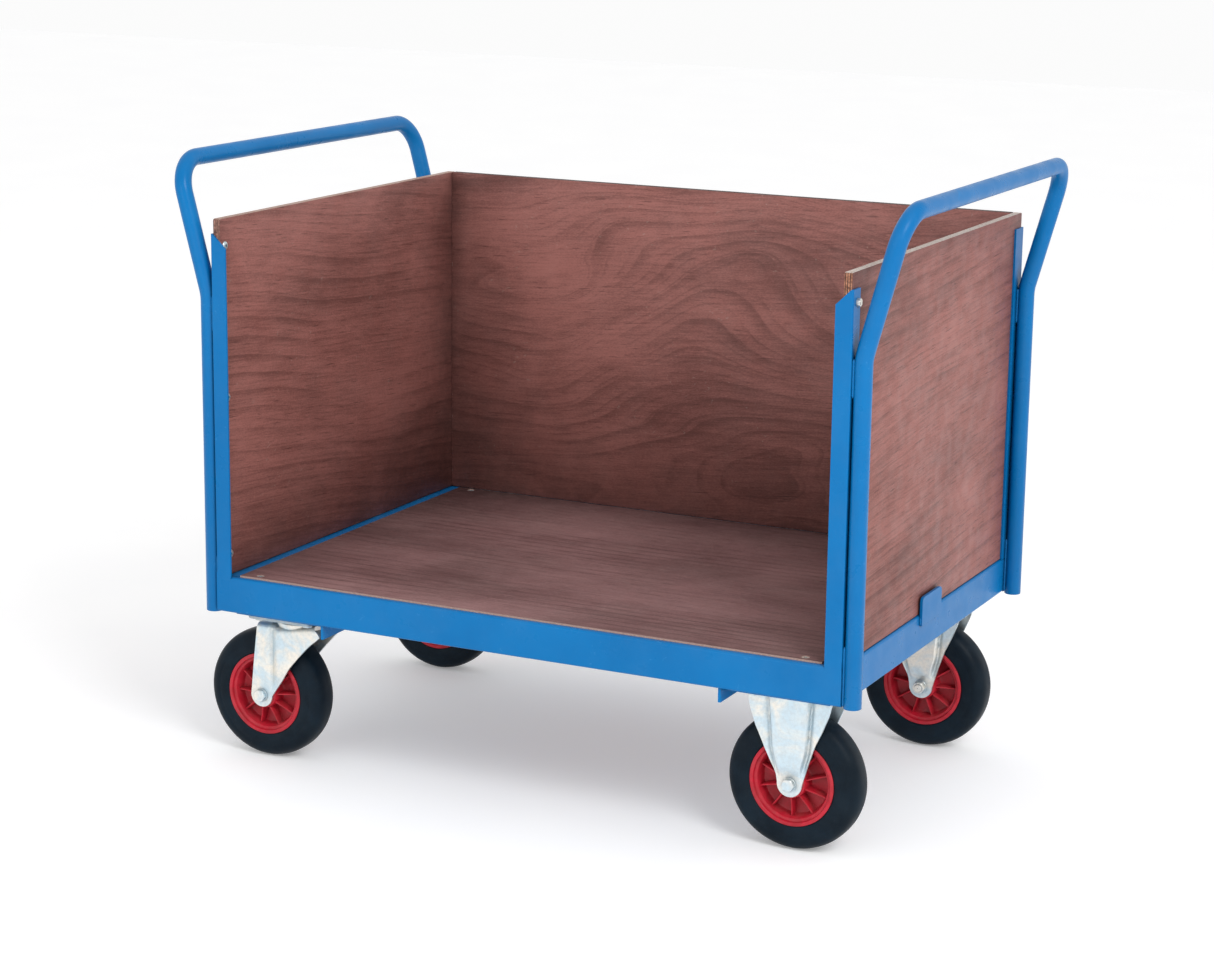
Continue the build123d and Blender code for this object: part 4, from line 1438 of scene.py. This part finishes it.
@dataclass
class FixedCastor(Castor):
    """Castor whose pressed bracket hangs straight from its plate."""

    rib_raise: float = 4.5
    crease: tuple[float, float] = (3.2, 3.4)
    plate: float = 4.0
    plate_width: float = 112.0
    left_edge: Curve = ((100, -18.0), (113, -20.5), (147, -38), (180, -53), (205, -61), (222, -65),
                        (231, -68))
    right_edge: Curve = ((100, 18.5), (131, 27), (161, 37), (180, 46), (205, 56), (222, 60), (231, 66))

    def face(self, x: float, level: float) -> float:
        """Outer face of a leg: a raised middle with soft steps to both flanges.

        Args:
            x: Place along the truck from the axle.
            level: Height above the floor.

        Returns:
            Distance from the wheel's middle plane.
        """
        left = along_curve(((100, 12), (130, 19), (150, 25), (235, 32)), level)
        right = along_curve(((100, 12), (130, 17), (150, 22), (235, 27)), level)
        raised = smooth(-left - 3.2, -left, x) * (1 - smooth(right, right + 3.2, x)) * smooth(108, 128, level)
        lip = 1.6 * smooth(14, 30, abs(x) - right) * smooth(150, 200, level)
        depth, width = self.crease
        for middle in (right + 4.6, -left - 4.6):
            lip -= depth * math.exp(-(((x - middle) / width) ** 2))
        return self.leg_face + self.rib_raise * raised + lip * smooth(108, 132, level)

    def build(self) -> None:
        """Build the bracket with its plate, then the wheel and the axle ends."""
        node = f"fixed_bracket_{self.corner}"
        low, high = node_box(node)
        hub = self.hub()
        under = high.z - self.plate
        rows = self.leg_rows(0.0, (self.left_edge, self.right_edge), under, (-18, -36, -54, -72, -88))
        draft = MeshDraft()
        for sign in (-1, 1):
            self.leg(draft, rows, hub, sign)
        length = high.x - low.x
        outline = rectangle_outline(length, self.plate_width, 12.0)
        rings = []
        for level, inset in ((under, 0.6), (under + 0.6, 0.0), (high.z - 0.6, 0.0), (high.z, 0.6)):
            shrink = 1 - 2 * inset / length
            rings.append(draft.ring(
                Vector((hub.x + p.x * shrink, hub.y + p.y * shrink, level)) for p in outline))
        draft.skin(rings)
        piece = draft.build(f"fixed_pressing_{self.corner}", ZINC, sharp=45, bevel=self.rounding)
        self.keep(piece, FRAME_BODY, "zinc_plate", [node])
        self.axle_ends(FRAME_BODY)
        self.build_wheel()


@dataclass
class SwivelCastor(Castor):
    """Castor whose fork turns under its plate on a ring of balls."""

    steps: int = 28
    bend: float = 9.0
    flare: float = 8.5
    groove: float = 2.8
    trail: float = 55.0
    left_reach: Curve = ((100, -18.5), (212, -7.0), (221, -6.0))
    right_reach: Curve = ((100, 18.5), (112, 26.5), (130, 41))
    right_edge: Curve = ((151, 0), (172, 17), (186, 30), (194, 39), (201, 48), (207, 54), (211, 52),
                         (221, 40))
    crown: Curve = ((-62, 6.5), (-38, 7.0), (-26, 10.5), (-12, 7.5), (0, 6.5), (20, 3.0), (38, 0.0))
    race: Curve = ((9, -11.0), (9, 0.2), (24, 0.2), (25.5, -0.6), (30.5, -0.6), (32, 0.9), (37, 0.9),
                   (38.6, -0.4), (39, -2.0), (36, -11.0))

    def face(self, x: float, level: float) -> float:
        """Outer face of a leg: a flat strip, a groove, and the flared sheet beside it.

        Args:
            x: Place along the fork from the king pin.
            level: Height above the floor.

        Returns:
            Distance from the wheel's middle plane.
        """
        strip = -self.trail + 20.0
        flared = self.flare * smooth(strip, strip + 15, x) * smooth(104, 150, level)
        groove = self.groove * math.exp(-(((x - strip + 1) / 2.8) ** 2)) * smooth(100, 125, level)
        return self.leg_face + flared - groove

    def sag(self, x: float, level: float) -> float:
        """The crown is lowest beside the strip and rises towards the fork's free end."""
        return along_curve(self.crown, x) * smooth(150, 214, level)

    def build(self) -> None:
        """Build the fork, then the wheel and the axle ends."""
        node = f"swivel_fork_{self.corner}"
        body = "swivel_fork_front" if self.corner.startswith("front") else "swivel_fork_rear"
        top = node_box(node)[1].z
        pivot = node_middle(f"king_pin_{self.corner}")
        pivot.z = 0
        axle = self.hub().x - pivot.x
        left = tuple((level, axle + reach) for level, reach in self.left_reach)
        right = tuple((level, axle + reach) for level, reach in self.right_reach) + self.right_edge
        rows = self.leg_rows(axle, (left, right), top, (15, 30, 45, 60, 75, 88))
        rows.append(SheetRow(axle - 4.0, 38.0, top, 0.0, 90))
        draft = MeshDraft()
        for sign in (-1, 1):
            self.leg(draft, rows, pivot, sign)
        lathe(draft, [(radius, top + rise) for radius, rise in self.race], Matrix.Translation(pivot), 72)
        piece = draft.build(f"fork_pressing_{self.corner}", ZINC, sharp=45, bevel=self.rounding)
        self.keep(piece, body, "zinc_plate", [node])
        self.axle_ends(body)
        self.build_wheel()


# ------------------------------------------------------------------ studio
@dataclass
class Studio:
    """Camera, floor and soft lights."""

    azimuth: float = 26.222
    elevation: float = 13.021
    roll: float = 0.735
    distance: float = 4.2829
    target: tuple[float, float, float] = (-0.0258, 0.0, 0.4205)
    lens: float = 83.715
    horizon: float = 0.97
    zenith: float = 0.80
    floor_reach: float = 12000.0
    lights: tuple[tuple, ...] = (
        ("key_light", (3.4, -2.6, 3.6), (0, 0, 0.4), 1.8, 110.0),
        ("fill_light", (-0.8, -4.2, 1.6), (0, 0, 0.5), 2.0, 16.0),
    )

    def dome(self) -> None:
        """Light the scene from a white dome that dims towards its top."""
        world = bpy.data.worlds.new("studio_world")
        world.use_nodes = True
        graph = Graph(world.node_tree)
        height = graph.split(graph.add("ShaderNodeTexCoord").outputs["Generated"])[2]
        shade = world.node_tree.nodes["Background"]
        shade.inputs["Color"].default_value = (1.0, 1.0, 1.0, 1)
        graph.feed(shade.inputs["Strength"], graph.ramp(height, 0.15, 0.9, self.horizon, self.zenith))
        bpy.context.scene.world = world

    def camera(self) -> None:
        """Place the camera on its line of sight."""
        azimuth, elevation, roll = (math.radians(a) for a in (self.azimuth, self.elevation, self.roll))
        away = Vector((math.sin(azimuth) * math.cos(elevation), -math.cos(azimuth) * math.cos(elevation),
                       math.sin(elevation)))
        right = (-away).cross(Vector((0, 0, 1))).normalized()
        up = right.cross(-away)
        tilted_right = right * math.cos(roll) + up * math.sin(roll)
        tilted_up = up * math.cos(roll) - right * math.sin(roll)
        data = bpy.data.cameras.new("camera")
        data.sensor_fit = "HORIZONTAL"
        data.sensor_width = 36.0
        data.lens = self.lens
        data.clip_end = 60.0
        camera = bpy.data.objects.new("camera", data)
        bpy.context.scene.collection.objects.link(camera)
        turned = Matrix((tilted_right, tilted_up, away)).transposed().to_4x4()
        camera.matrix_world = Matrix.Translation(Vector(self.target) + away * self.distance) @ turned
        bpy.context.scene.camera = camera

    def light(self, name: str, place: Sequence[float], aim: Sequence[float], size: float,
              power: float) -> None:
        """Add one square soft light.

        Args:
            name: The light's name.
            place: Where it stands, in metres.
            aim: What it faces, in metres.
            size: Its side, in metres.
            power: Its power in watts.
        """
        data = bpy.data.lights.new(name, "AREA")
        data.shape = "SQUARE"
        data.size = size
        data.energy = power
        lamp = bpy.data.objects.new(name, data)
        bpy.context.scene.collection.objects.link(lamp)
        lamp.location = place
        lamp.rotation_euler = (Vector(aim) - Vector(place)).to_track_quat("-Z", "Y").to_euler()

    def build(self) -> None:
        """Build floor, lights, world and camera."""
        draft = MeshDraft()
        corners = ((-1, -1), (1, -1), (1, 1), (-1, 1))
        draft.cap(draft.ring(Vector((x, y, 0)) * self.floor_reach for x, y in corners))
        draft.build("studio_floor", FloorFinish("pale_floor"))
        self.dome()
        bpy.context.scene.view_settings.view_transform = "Standard"
        for lamp in self.lights:
            self.light(*lamp)
        self.camera()


def panels() -> list[PlyPanel]:
    """Describe the three panels with their own veneers.

    Returns:
        The panels, ready to build.
    """
    made = []
    ends = (
        ("end_panel_left", 5.0, 1.7, (0.48, 0.25, 0.19, 1), (0.46, 0.31, 0.25, 1)),
        ("end_panel_right", -3.0, 9.2, (0.66, 0.30, 0.17, 1), (0.55, 0.48, 0.43, 1)),
    )
    for node, slant, seed, side_edge, top_edge in ends:
        finish = PlywoodFinish(f"{node}_veneer", grain=Axis.Y, through=Axis.X, start=node_box(node)[0].x,
                               slant=slant, seed=seed, edge_pale=side_edge, top_edge=top_edge)
        made.append(PlyPanel(node=node, through=Axis.X, finish=finish))
    finish = PlywoodFinish("back_panel_veneer", grain=Axis.X, through=Axis.Y,
                           start=node_box("back_panel")[0].y, slant=-4.0, lines=26.0, swirl=2.2,
                           seed=5.4, edge_pale=(0.12, 0.07, 0.06, 1),
                           edge_dark=(0.03, 0.02, 0.02, 1), top_edge=(0.045, 0.025, 0.022, 1))
    made.append(PlyPanel(node="back_panel", through=Axis.Y, finish=finish))
    return made


def main() -> None:
    """Build every sub-assembly in order and report it."""
    logging.basicConfig(level=logging.INFO, format="%(name)s %(message)s")
    Studio().build()
    parts: list[SubAssembly] = [
        KeptNodes(), Deck(), *panels(), PanelScrews(), Handle(side="left"), Handle(side="right"), Welds(),
        SwivelCastor(corner="front_left", rib_phase=3.0), SwivelCastor(corner="rear_left", rib_phase=21.0),
        FixedCastor(corner="front_right", rib_phase=16.0), FixedCastor(corner="rear_right", rib_phase=-2.0),
    ]
    for part in parts:
        part.build()
        LOG.info("%s done, %d pieces", type(part).__name__, len(part.pieces))


if __name__ == "__main__":
    main()
